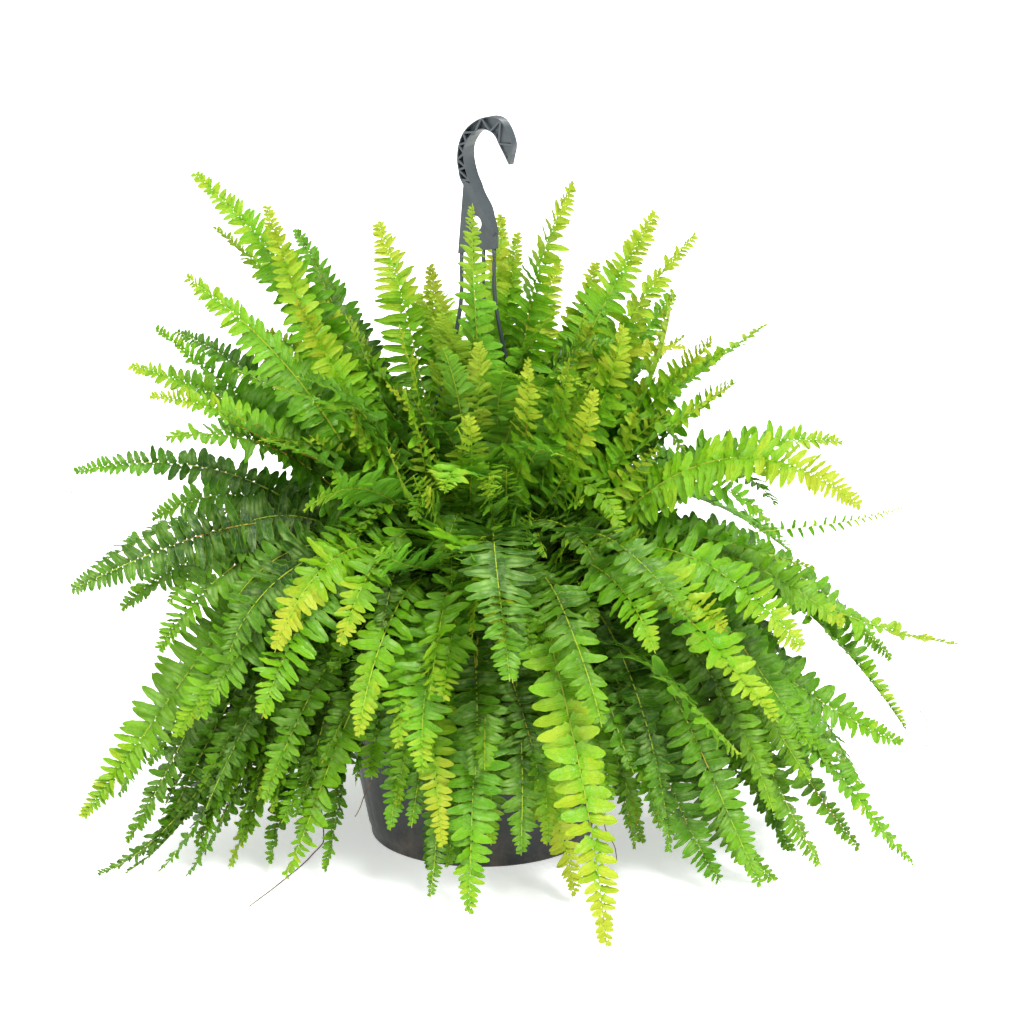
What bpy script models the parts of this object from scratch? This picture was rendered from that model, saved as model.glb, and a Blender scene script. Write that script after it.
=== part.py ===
"""A Boston fern in a plastic hanging pot, standing on its base.

Frame: metres, +Z up, origin at the centre of the pot's underside. -Y is the side
that the hanger's hook and the fullest fronds are seen from.
Run with: blender --background --python part.py
"""

import math

import bmesh
import bpy
from mathutils import Matrix, Vector

CM = 0.01
MM = 0.001
GAP = 0.4 * MM  # between pieces that touch in the real object

# ---------------------------------------------------------------- pot and soil
POT_HEIGHT = 175 * MM
POT_BASE_RADIUS = 92 * MM
POT_TOP_RADIUS = 127 * MM
POT_WALL = 2.2 * MM
LIP_OVERHANG = 5 * MM
LIP_DEPTH = 14 * MM
LIP_ROUND = 1.5 * MM
POT_SEGMENTS = 56
DRAIN_COUNT = 8
DRAIN_RADIUS = 5 * MM
DRAIN_CIRCLE = 62 * MM
SOIL_TOP = POT_HEIGHT - 20 * MM
SOIL_MOUND = 4 * MM
CROWN_RADIUS = 88 * MM
CROWN_HEIGHT = 15 * MM
CROWN_SEGMENTS = 28

# ---------------------------------------------------------------------- hanger
HOOK_TURN = math.radians(-40)  # the hook's plane, turned about +Z from the XZ plane
HOOK_DEPTH = 13 * MM
HOOK_WEB = 3 * MM
HOOK_CORE = 4 * MM  # what stays between the recesses of the two faces
HOOK_RIB = 0.9 * MM  # half the thickness of a rib, and a recess's distance from the edge
# The hook's stations in mm, from its foot on the plate round the bend to its beak: the left edge as
# (across, up), the right edge as (across, up), and the depth.
HOOK_STATIONS = (
    (15.0, 503.5, 17.4, 507.0, 4.0),
    (8.2, 512.0, 12.0, 518.0, 8.0),
    (2.5, 520.5, 7.0, 526.0, 13.0),
    (-7.0, 535.5, -0.5, 536.5, 13.0),
    (-15.6, 546.5, -3.6, 543.0, 13.0),
    (-17.8, 554.0, -8.2, 551.5, 13.0),
    (-19.2, 562.0, -11.6, 563.0, 13.0),
    (-17.8, 574.0, -11.4, 573.0, 13.0),
    (-13.0, 584.5, -7.2, 580.5, 12.4),
    (-5.0, 592.5, -1.0, 586.2, 11.4),
    (5.0, 598.0, 6.0, 589.0, 10.2),
    (15.0, 600.0, 13.5, 588.0, 9.0),
    (24.0, 598.0, 18.5, 584.5, 8.0),
    (31.0, 590.0, 21.5, 579.0, 7.0),
    (35.5, 579.5, 26.0, 572.0, 6.0),
    (33.8, 570.0, 30.0, 565.5, 5.4),
    (32.4, 563.4, 31.2, 563.4, 5.0),
)
FIRST_RIB = 4  # the station where the ribs begin
LAST_RIB = 15
PLATE_EDGE = (
    (-16.2, 549), (-22.8, 485), (17.4, 494), (17.4, 506), (8, 517), (-5, 537), (-10, 545),
)
WINDOW_CENTRE = (-4, 512)
WINDOW_RADIUS = 6 * MM
WINDOW_SIDES = 14
PLATE_SLOPE = 9 / 40.2  # how the plate's lower edge rises across it
STRAND_RADIUS = 1.7 * MM
STRAND_LOW = POT_HEIGHT - LIP_DEPTH - 2 * MM
STRAND_CLEAR = STRAND_RADIUS + GAP
# Each strand: its node, where across the plate it starts in mm, and the azimuth of its clip in degrees.
STRANDS = (
    ("hanger_strand_left", -20, 179.7),
    ("hanger_strand_back", -9, 109),
    ("hanger_strand_front", 3, 295),
    ("hanger_strand_right", 14, 20),
)
# Where a strand runs straight down, where it has bent out, and where it is halfway to the rim.
STRAND_DROP = 5 * CM
STRAND_BEND = {"out": 2.6 * CM, "height": 37 * CM, "top_share": 0.55}
STRAND_HALFWAY = {"out": 8.2 * CM, "height": 26.5 * CM}
STRAND_OVER_RIM = {"inside": 4 * MM, "above": 12 * MM}

# ---------------------------------------------------------------------- fronds
STATIONS = 12
BLADE_HALF_THICKNESS = 0.9 * MM
STALK_HALF_WIDTH = 2.2 * MM
STALK_SHARE = 0.22  # the bare stalk's share of a frond's length
ROOT_HEIGHT = SOIL_TOP + SOIL_MOUND + CROWN_HEIGHT + 1.5 * MM
# Each tier springs from its own ring on the crown: the outer fronds from the outer ring.
TIERS = {
    "skirt": {"root_radius": 7.6 * CM, "half_width": 13 * MM},
    "middle": {"root_radius": 5.6 * CM, "half_width": 13 * MM},
    "upper": {"root_radius": 3.6 * CM, "half_width": 12 * MM},
    "inner": {"root_radius": 1.7 * CM, "half_width": 11 * MM},
}
# tip x, y, z in cm, launch and tip elevation in degrees, and the arch: how far the frond's first pull
# reaches, as a share of the way to its tip
FRONDS = {
    "skirt": [
        (-32.3, -7.0, 3.2, 74, -52, 0.70),
        (-30.8, -13.0, 0.8, 74, -5, 0.60),
        (-20.2, -11.7, 0.8, 76, -62, 0.70),
        (-12.6, -12.8, 1.0, 76, -72, 0.85),
        (-3.9, -18.0, 0.8, 78, -82, 0.90),
        (-0.5, -21.6, 0.8, 76, -72, 0.75),
        (9.7, -28.5, 0.8, 72, -60, 0.70),
        (18.9, -15.2, 0.8, 76, -42, 0.75),
        (23.5, -14.5, 0.8, 74, -30, 0.70),
        (27.7, -10.8, 0.8, 74, -52, 0.70),
        (34.7, -11.3, 0.8, 74, -42, 0.65),
        (-31.0, 6.0, 0.8, 72, -60, 0.70),
        (-24.0, 17.0, 0.8, 72, -60, 0.70),
        (-14.0, 26.0, 0.8, 74, -58, 0.70),
        (-3.0, 28.0, 0.8, 72, -60, 0.70),
        (8.0, 29.0, 0.8, 74, -60, 0.70),
        (18.0, 24.0, 0.8, 72, -60, 0.70),
        (30.0, 13.0, 0.8, 72, -60, 0.70),
        (32.5, 8.5, 0.8, 72, -58, 0.70),
    ],
    "middle": [
        (-32.8, -3.5, 31.5, 60, -10, 0.45),
        (-32.6, -8.8, 23.0, 68, -25, 0.60),
        (-17.0, -20.0, 16.5, 72, -62, 0.80),
        (-9.0, -22.0, 15.5, 74, -70, 0.85),
        (2.0, -28.0, 22.0, 72, -65, 0.90),
        (20.0, -22.8, 14.5, 35, -25, 0.42),
        (34.2, -7.6, 10.0, 72, -8, 0.60),
        (39.0, -3.0, 17.0, 60, -4, 0.50),
        (29.4, -16.2, 32.0, 66, -32, 0.55),
        (34.9, 4.0, 27.0, 52, 20, 0.42),
        (27.0, 20.0, 18.0, 66, -38, 0.60),
        (10.0, 32.0, 20.0, 66, -35, 0.60),
        (-6.5, 31.0, 22.0, 66, -35, 0.60),
        (-26.0, 22.0, 16.0, 66, -42, 0.60),
        (-33.0, 8.0, 20.0, 64, -35, 0.55),
    ],
    "upper": [
        (-28.9, 3.5, 38.5, 62, 10, 0.42),
        (-23.3, -6.0, 48.0, 66, 38, 0.42),
        (-23.2, 6.0, 54.6, 68, 40, 0.42),
        (-16.0, 16.0, 47.5, 70, 45, 0.42),
        (17.5, 2.6, 49.8, 74, 45, 0.42),
        (24.0, 14.0, 40.0, 66, 25, 0.42),
        (29.6, 0.4, 33.0, 62, -5, 0.42),
        (12.0, 22.0, 42.0, 68, 30, 0.42),
        (-4.0, 26.0, 40.0, 66, 20, 0.42),
        (-14.0, -14.0, 42.0, 70, 20, 0.42),
        (26.5, -10.5, 25.5, 68, -14, 0.50),
    ],
    "inner": [
        (7.6, -3.0, 55.0, 80, 62, 0.42),
        (-0.4, -6.5, 54.0, 84, 80, 0.42),
        (-8.8, 5.0, 50.5, 80, 65, 0.42),
        (14.5, 9.0, 50.5, 78, 50, 0.42),
        (2.0, 12.0, 48.0, 80, 60, 0.42),
        (-6.0, -10.0, 40.0, 80, 60, 0.42),
    ],
}
TIP_PULL = 0.40  # the same share for the pull at the tip


def clear_scene():
    for obj in list(bpy.data.objects):
        bpy.data.objects.remove(obj, do_unlink=True)


def new_collection(name):
    made = bpy.data.collections.new(name)
    bpy.context.scene.collection.children.link(made)
    return made


def material(name, colour, roughness, metallic=0.0):
    made = bpy.data.materials.new(name)
    made.use_nodes = True
    made.diffuse_color = (*colour, 1.0)
    shader = made.node_tree.nodes["Principled BSDF"]
    shader.inputs["Base Color"].default_value = (*colour, 1.0)
    shader.inputs["Roughness"].default_value = roughness
    shader.inputs["Metallic"].default_value = metallic
    return made


def add_mesh_object(name, bm, collection, mat, smooth_angle=None):
    bmesh.ops.recalc_face_normals(bm, faces=bm.faces)
    mesh = bpy.data.meshes.new(name)
    bm.to_mesh(mesh)
    bm.free()
    obj = bpy.data.objects.new(name, mesh)
    collection.objects.link(obj)
    mesh.materials.append(mat)
    if smooth_angle is not None:
        mesh.shade_smooth()
        mesh.set_sharp_from_angle(angle=math.radians(smooth_angle))
    return obj


def turned(name, profile, segments, collection, mat):
    """A solid of revolution: profile is (radius, height) pairs that run down the outer side."""
    bm = bmesh.new()
    points = [bm.verts.new((radius, 0.0, height)) for radius, height in profile]
    for first, second in zip(points, points[1:]):
        bm.edges.new((first, second))
    mesh = bpy.data.meshes.new(name)
    bm.to_mesh(mesh)
    bm.free()
    obj = bpy.data.objects.new(name, mesh)
    collection.objects.link(obj)
    mesh.materials.append(mat)
    screw = obj.modifiers.new("Turn", "SCREW")
    screw.axis = "Z"
    screw.angle = 2 * math.pi
    screw.steps = segments
    screw.render_steps = segments
    screw.use_merge_vertices = True
    screw.merge_threshold = 0.00005
    screw.use_smooth_shade = True
    return obj


def combine(obj, other, operation, name):
    """Joins the other shape to obj or takes it out, and hides the other."""
    boolean = obj.modifiers.new(name, "BOOLEAN")
    boolean.operation = operation
    boolean.solver = "EXACT"
    boolean.object = other
    other.hide_render = True
    other.display_type = "WIRE"


# ------------------------------------------------------------------------- pot
def pot_outer_radius(height):
    return POT_BASE_RADIUS + (POT_TOP_RADIUS - POT_BASE_RADIUS) * height / POT_HEIGHT


def make_pot(collection, cutters, mat):
    lip_low = POT_HEIGHT - LIP_DEPTH
    lip_radius = POT_TOP_RADIUS + LIP_OVERHANG
    profile = [
        (0.0, POT_WALL),
        (POT_BASE_RADIUS - 2.5 * POT_WALL, POT_WALL),
        (POT_BASE_RADIUS - POT_WALL, 2.5 * POT_WALL),
        (POT_TOP_RADIUS - POT_WALL, POT_HEIGHT - LIP_ROUND),
        (POT_TOP_RADIUS - POT_WALL + LIP_ROUND, POT_HEIGHT),
        (lip_radius - LIP_ROUND, POT_HEIGHT),
        (lip_radius, POT_HEIGHT - LIP_ROUND),
        (lip_radius, lip_low),
        (pot_outer_radius(lip_low), lip_low),
        (pot_outer_radius(POT_HEIGHT / 3), POT_HEIGHT / 3),
        (POT_BASE_RADIUS, 1.5 * POT_WALL),
        (POT_BASE_RADIUS - 1.5 * POT_WALL, 0.0),
        (0.0, 0.0),
    ]
    pot = turned("pot", profile, POT_SEGMENTS, collection, mat)
    bm = bmesh.new()
    for index in range(DRAIN_COUNT):
        angle = 2 * math.pi * (index + 0.5) / DRAIN_COUNT
        place = Matrix.Translation(
            (DRAIN_CIRCLE * math.cos(angle), DRAIN_CIRCLE * math.sin(angle), 0.0)
        )
        bmesh.ops.create_cone(
            bm,
            cap_ends=True,
            segments=12,
            radius1=DRAIN_RADIUS,
            radius2=DRAIN_RADIUS,
            depth=6 * POT_WALL,
            matrix=place,
        )
    drains = add_mesh_object("drain_cutter", bm, cutters, mat)
    combine(pot, drains, "DIFFERENCE", "Drain holes")
    return pot


def make_soil(collection, mat):
    inside = POT_WALL + GAP
    low_radius = POT_BASE_RADIUS - 2.5 * POT_WALL - GAP
    top_radius = pot_outer_radius(SOIL_TOP) - inside - GAP
    chamfer = 3 * MM
    profile = [
        (0.0, SOIL_TOP + SOIL_MOUND),
        (CROWN_RADIUS, SOIL_TOP + SOIL_MOUND),
        (top_radius, SOIL_TOP),
        (low_radius, POT_WALL + GAP + chamfer),
        (low_radius - chamfer, POT_WALL + GAP),
        (0.0, POT_WALL + GAP),
    ]
    return turned("potting_mix", profile, 40, collection, mat)


def make_crown(collection, mat):
    """The low mat of rhizomes that the fronds spring from: its top is flat under the roots."""
    low = SOIL_TOP + SOIL_MOUND + GAP
    profile = [
        (0.0, low + CROWN_HEIGHT - GAP),
        (CROWN_RADIUS - 8 * MM, low + CROWN_HEIGHT - GAP),
        (CROWN_RADIUS - 2 * MM, low + 0.6 * CROWN_HEIGHT),
        (CROWN_RADIUS - 4 * MM, low),
        (0.0, low),
    ]
    return turned("crown", profile, CROWN_SEGMENTS, collection, mat)


# ---------------------------------------------------------------------- hanger
def in_metres(points):
    return [(x * MM, z * MM) for x, z in points]


def prism(outline, half_depth, at=0.0, bm=None):
    """The outline, as (across, up) in metres, made solid on both sides of y = at."""
    bm = bm or bmesh.new()
    front = [bm.verts.new((x, at - half_depth, z)) for x, z in outline]
    back = [bm.verts.new((x, at + half_depth, z)) for x, z in outline]
    bm.faces.new(front)
    bm.faces.new(list(reversed(back)))
    count = len(outline)
    for i in range(count):
        j = (i + 1) % count
        bm.faces.new((front[i], back[i], back[j], front[j]))
    return bm


def tapered_band(stations):
    """A closed band through the stations, each with its own width and depth."""
    bm = bmesh.new()
    rings = []
    for left_x, left_z, right_x, right_z, depth in stations:
        corners = (
            (left_x, -depth / 2, left_z),
            (right_x, -depth / 2, right_z),
            (right_x, depth / 2, right_z),
            (left_x, depth / 2, left_z),
        )
        rings.append([bm.verts.new(Vector(corner) * MM) for corner in corners])
    bm.faces.new(rings[0])
    bm.faces.new(list(reversed(rings[-1])))
    for below, above in zip(rings, rings[1:]):
        for i in range(4):
            j = (i + 1) % 4
            bm.faces.new((below[i], above[i], above[j], below[j]))
    bmesh.ops.recalc_face_normals(bm, faces=bm.faces)
    return bm


def shrunk(corners, margin):
    """The polygon with each side moved in by margin."""
    corners = [Vector(corner) for corner in corners]
    following = corners[1:] + corners[:1]
    area = sum(here.cross(after) for here, after in zip(corners, following))
    normals = []
    for here, after in zip(corners, following):
        along = (after - here).normalized()
        normals.append(Vector((-along.y, along.x)) * math.copysign(1.0, area))
    inset = []
    for i, here in enumerate(corners):
        spread = 1 + normals[i - 1].dot(normals[i])
        inset.append(tuple(here + (normals[i - 1] + normals[i]) * (margin / spread)))
    return inset


def rib_recesses():
    """The recesses between zigzag ribs, each with its apex on one edge and its base on the other."""
    left = in_metres(row[0:2] for row in HOOK_STATIONS)
    right = in_metres(row[2:4] for row in HOOK_STATIONS)
    recesses = []
    for i in range(FIRST_RIB, LAST_RIB):
        apex_edge, base_edge = (left, right) if i % 2 == 0 else (right, left)
        base = base_edge[max(i - 1, FIRST_RIB) : i + 2]
        recesses.append(shrunk([apex_edge[i], *base], HOOK_RIB))
    return recesses


def make_hook(collection, cutters, mat):
    """The hook and its plate: an I-section band with zigzag ribs, and a thin web below."""
    hook = add_mesh_object("hanger_hook", tapered_band(HOOK_STATIONS), collection, mat)
    plate = in_metres(PLATE_EDGE)
    web = add_mesh_object("plate_web", prism(plate, HOOK_WEB / 2), cutters, mat)
    combine(hook, web, "UNION", "Plate")
    depth = (HOOK_DEPTH - HOOK_CORE) / 2
    for side, name in ((-1, "front"), (1, "back")):
        bm = bmesh.new()
        for recess in rib_recesses():
            prism(recess, depth / 2 + MM, side * (HOOK_DEPTH / 2 + MM - depth / 2), bm)
        cutter = add_mesh_object(f"recess_cutter_{name}", bm, cutters, mat)
        combine(hook, cutter, "DIFFERENCE", f"Recesses {name}")
    window = [
        (
            WINDOW_CENTRE[0] * MM + WINDOW_RADIUS * math.cos(2 * math.pi * i / WINDOW_SIDES),
            WINDOW_CENTRE[1] * MM + WINDOW_RADIUS * math.sin(2 * math.pi * i / WINDOW_SIDES),
        )
        for i in range(WINDOW_SIDES)
    ]
    cutter = add_mesh_object("window_cutter", prism(window, HOOK_DEPTH), cutters, mat)
    combine(hook, cutter, "DIFFERENCE", "Window")
    for piece in (hook, *cutters.objects):
        if piece.name != "drain_cutter":
            piece.rotation_euler = (0.0, 0.0, HOOK_TURN)
    return hook


def smooth_route(points, per_span):
    """A Catmull-Rom line through the points."""
    padded = [2 * points[0] - points[1], *points, 2 * points[-1] - points[-2]]
    line = []
    for a, b, c, d in zip(padded, padded[1:], padded[2:], padded[3:]):
        for i in range(per_span):
            t = i / per_span
            line.append(
                0.5
                * (
                    2 * b
                    + (c - a) * t
                    + (2 * a - 5 * b + 4 * c - d) * t * t
                    + (3 * b - a - 3 * c + d) * t**3
                )
            )
    return line + [points[-1]]


def make_strand(name, across, azimuth, collection, mat):
    """One leg of the hanger: straight down from the plate, out over the rim, hooked under the lip."""
    top = Matrix.Rotation(HOOK_TURN, 3, "Z") @ Vector((across, 0.0, 0.0))
    out = Vector((math.cos(azimuth), math.sin(azimuth), 0.0))
    lip = POT_TOP_RADIUS + LIP_OVERHANG
    foot = PLATE_EDGE[1][1] * MM + (across - PLATE_EDGE[1][0] * MM) * PLATE_SLOPE
    highest = foot - STRAND_CLEAR * PLATE_SLOPE - GAP
    stops = (
        (top, highest),
        (top + out * 2 * MM, highest - STRAND_DROP),
        (top * STRAND_BEND["top_share"] + out * STRAND_BEND["out"], STRAND_BEND["height"]),
        (out * STRAND_HALFWAY["out"], STRAND_HALFWAY["height"]),
        (out * (lip - STRAND_OVER_RIM["inside"]), POT_HEIGHT + STRAND_OVER_RIM["above"]),
        (out * (lip + STRAND_CLEAR), POT_HEIGHT - 2 * MM),
        (out * (lip + STRAND_CLEAR), STRAND_LOW),
    )
    route = [flat + Vector((0.0, 0.0, height)) for flat, height in stops]
    curve = bpy.data.curves.new(name, "CURVE")
    curve.dimensions = "3D"
    curve.bevel_depth = STRAND_RADIUS
    curve.bevel_resolution = 1
    curve.use_fill_caps = True
    line = smooth_route(route, 4)
    spline = curve.splines.new("POLY")
    spline.points.add(len(line) - 1)
    for point, place in zip(spline.points, line):
        point.co = (*place, 1.0)
    obj = bpy.data.objects.new(name, curve)
    collection.objects.link(obj)
    curve.materials.append(mat)
    return obj


# ---------------------------------------------------------------------- fronds
def direction(azimuth, elevation):
    flat = math.cos(elevation)
    return Vector(
        (flat * math.cos(azimuth), flat * math.sin(azimuth), math.sin(elevation))
    )


def frond_route(tier, spec, count):
    """Points along a frond's stalk: a cubic curve from its ring on the crown to its tip."""
    x, y, z, launch, droop, arch = spec
    tip = Vector((x, y, z)) * CM
    azimuth = math.atan2(tip.y, tip.x)
    root = direction(azimuth, 0.0) * TIERS[tier]["root_radius"]
    root.z = ROOT_HEIGHT
    reach = (tip - root).length
    first = root + direction(azimuth, math.radians(launch)) * arch * reach
    second = tip - direction(azimuth, math.radians(droop)) * TIP_PULL * reach
    line = []
    for i in range(count):
        t = i / (count - 1)
        u = 1 - t
        line.append(u**3 * root + 3 * u * u * t * first + 3 * u * t * t * second + t**3 * tip)
    return line


def blade_half_width(share, widest):
    """Narrow along the stalk, widest at mid-length, tapering to the tip."""
    if share < STALK_SHARE:
        return STALK_HALF_WIDTH
    along = (share - STALK_SHARE) / (1 - STALK_SHARE)
    return STALK_HALF_WIDTH + (widest - STALK_HALF_WIDTH) * math.sin(math.pi * along**0.7) ** 0.7


def make_frond(name, tier, spec, collection, mat):
    """A thin blade with a low ridge, lofted along the frond's route."""
    line = frond_route(tier, spec, STATIONS)
    azimuth = math.atan2(spec[1], spec[0])
    side = Vector((-math.sin(azimuth), math.cos(azimuth), 0.0))
    bm = bmesh.new()
    rings = []
    for i, place in enumerate(line):
        ahead = line[min(i + 1, STATIONS - 1)] - line[max(i - 1, 0)]
        up = side.cross(ahead).normalized() * BLADE_HALF_THICKNESS
        half = blade_half_width(i / (STATIONS - 1), TIERS[tier]["half_width"])
        rings.append([bm.verts.new(place + offset) for offset in (side * half, up, -side * half, -up)])
    for near, far in zip(rings, rings[1:]):
        for i in range(4):
            j = (i + 1) % 4
            bm.faces.new((near[i], near[j], far[j], far[i]))
    bm.faces.new(rings[0])
    bm.faces.new(list(reversed(rings[-1])))
    return add_mesh_object(name, bm, collection, mat, smooth_angle=40)


def main():
    clear_scene()
    fern = new_collection("potted_fern")
    cutters = new_collection("cutters")
    black_plastic = material("pot_black_plastic", (0.012, 0.014, 0.016), 0.45)
    grey_plastic = material("hanger_grey_plastic", (0.075, 0.09, 0.1), 0.5)
    peat = material("potting_mix_peat", (0.045, 0.03, 0.02), 0.95)
    rhizome = material("crown_brown", (0.12, 0.075, 0.035), 0.9)
    leaf = material("frond_green", (0.16, 0.36, 0.03), 0.5)

    make_pot(fern, cutters, black_plastic)
    make_soil(fern, peat)
    make_crown(fern, rhizome)
    make_hook(fern, cutters, grey_plastic)
    for name, across, azimuth in STRANDS:
        make_strand(name, across * MM, math.radians(azimuth), fern, grey_plastic)
    for tier, specs in FRONDS.items():
        for number, spec in enumerate(specs, start=1):
            make_frond(f"frond_{tier}_{number:02d}", tier, spec, fern, leaf)


main()
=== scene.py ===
"""The looks of the potted fern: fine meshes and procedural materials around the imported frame.

The routes, the pot's profile and the hook's edges repeat part.py's, in the same frame: metres, +Z up,
origin at the centre of the pot's underside, seen from -Y.
"""

import math

import bmesh
import bpy
import numpy as np
from mathutils import Matrix, Vector


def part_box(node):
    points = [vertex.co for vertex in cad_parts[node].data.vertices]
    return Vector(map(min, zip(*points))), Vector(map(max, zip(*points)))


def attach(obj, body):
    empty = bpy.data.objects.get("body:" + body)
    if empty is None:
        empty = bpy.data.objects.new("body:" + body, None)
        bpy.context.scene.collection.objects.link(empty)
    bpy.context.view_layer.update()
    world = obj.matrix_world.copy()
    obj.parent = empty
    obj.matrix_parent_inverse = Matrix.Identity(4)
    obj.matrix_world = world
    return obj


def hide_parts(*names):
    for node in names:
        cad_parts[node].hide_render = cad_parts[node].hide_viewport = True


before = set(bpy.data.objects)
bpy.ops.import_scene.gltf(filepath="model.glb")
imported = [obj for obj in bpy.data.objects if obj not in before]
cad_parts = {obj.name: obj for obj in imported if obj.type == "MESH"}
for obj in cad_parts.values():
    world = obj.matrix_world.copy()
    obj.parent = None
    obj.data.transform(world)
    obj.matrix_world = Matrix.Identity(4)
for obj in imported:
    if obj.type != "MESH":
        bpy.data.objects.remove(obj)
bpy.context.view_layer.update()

CM = 0.01
MM = 0.001
UP = np.array([0.0, 0.0, 1.0])
FRONT = np.array([0.0, -1.0, 0.0])
rng = np.random.default_rng(38)

# ------ sizes from the frame
CROWN_LOW, CROWN_HIGH = (np.array(corner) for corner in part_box("crown"))
SOIL_TOP = np.array(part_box("potting_mix"))[1, 2]
LIP_RADIUS, POT_HEIGHT = np.array(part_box("pot"))[1, ::2]
POT_TOP_RADIUS = LIP_RADIUS - 5 * MM
POT_BASE_RADIUS = 92 * MM
POT_WALL = 2.2 * MM
LIP_DEPTH = 14 * MM
FLUTE_DEPTH = 0.9 * MM
DRAIN_HOLES = 8
DRAIN_CIRCLE = 62 * MM
DRAIN_RADIUS = 5 * MM
ROOT_HEIGHT = CROWN_HIGH[2] - 1 * MM
FLOOR_CLEAR = 1.2 * MM  # the least height of a stalk over the floor
LEAF_CLEAR = 0.25 * MM  # the same of a leaflet

# ------ fronds
# Each tier springs from its own ring on the crown.
RINGS = {"skirt": 7.6 * CM, "middle": 5.6 * CM, "upper": 3.6 * CM, "young": 6.0 * CM, "inner": 1.7 * CM}
# How much deeper green a frond's foot is than its tip: partly the older leaflets' own deeper green, partly
# painted shade deep inside the plant.
FOOT_DEEPER_AND_SHADED = {"skirt": 0.24, "young": 0.40, "middle": 0.34, "upper": 0.38, "inner": 0.48}
# How yellow the green is, from 0 to 1, and what it comes to at the tips.
WARMTH = {"skirt": 0.65, "middle": 0.55, "upper": 0.45, "young": 0.25, "inner": 0.50}
TIP_WARMTH = 0.85
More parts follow.
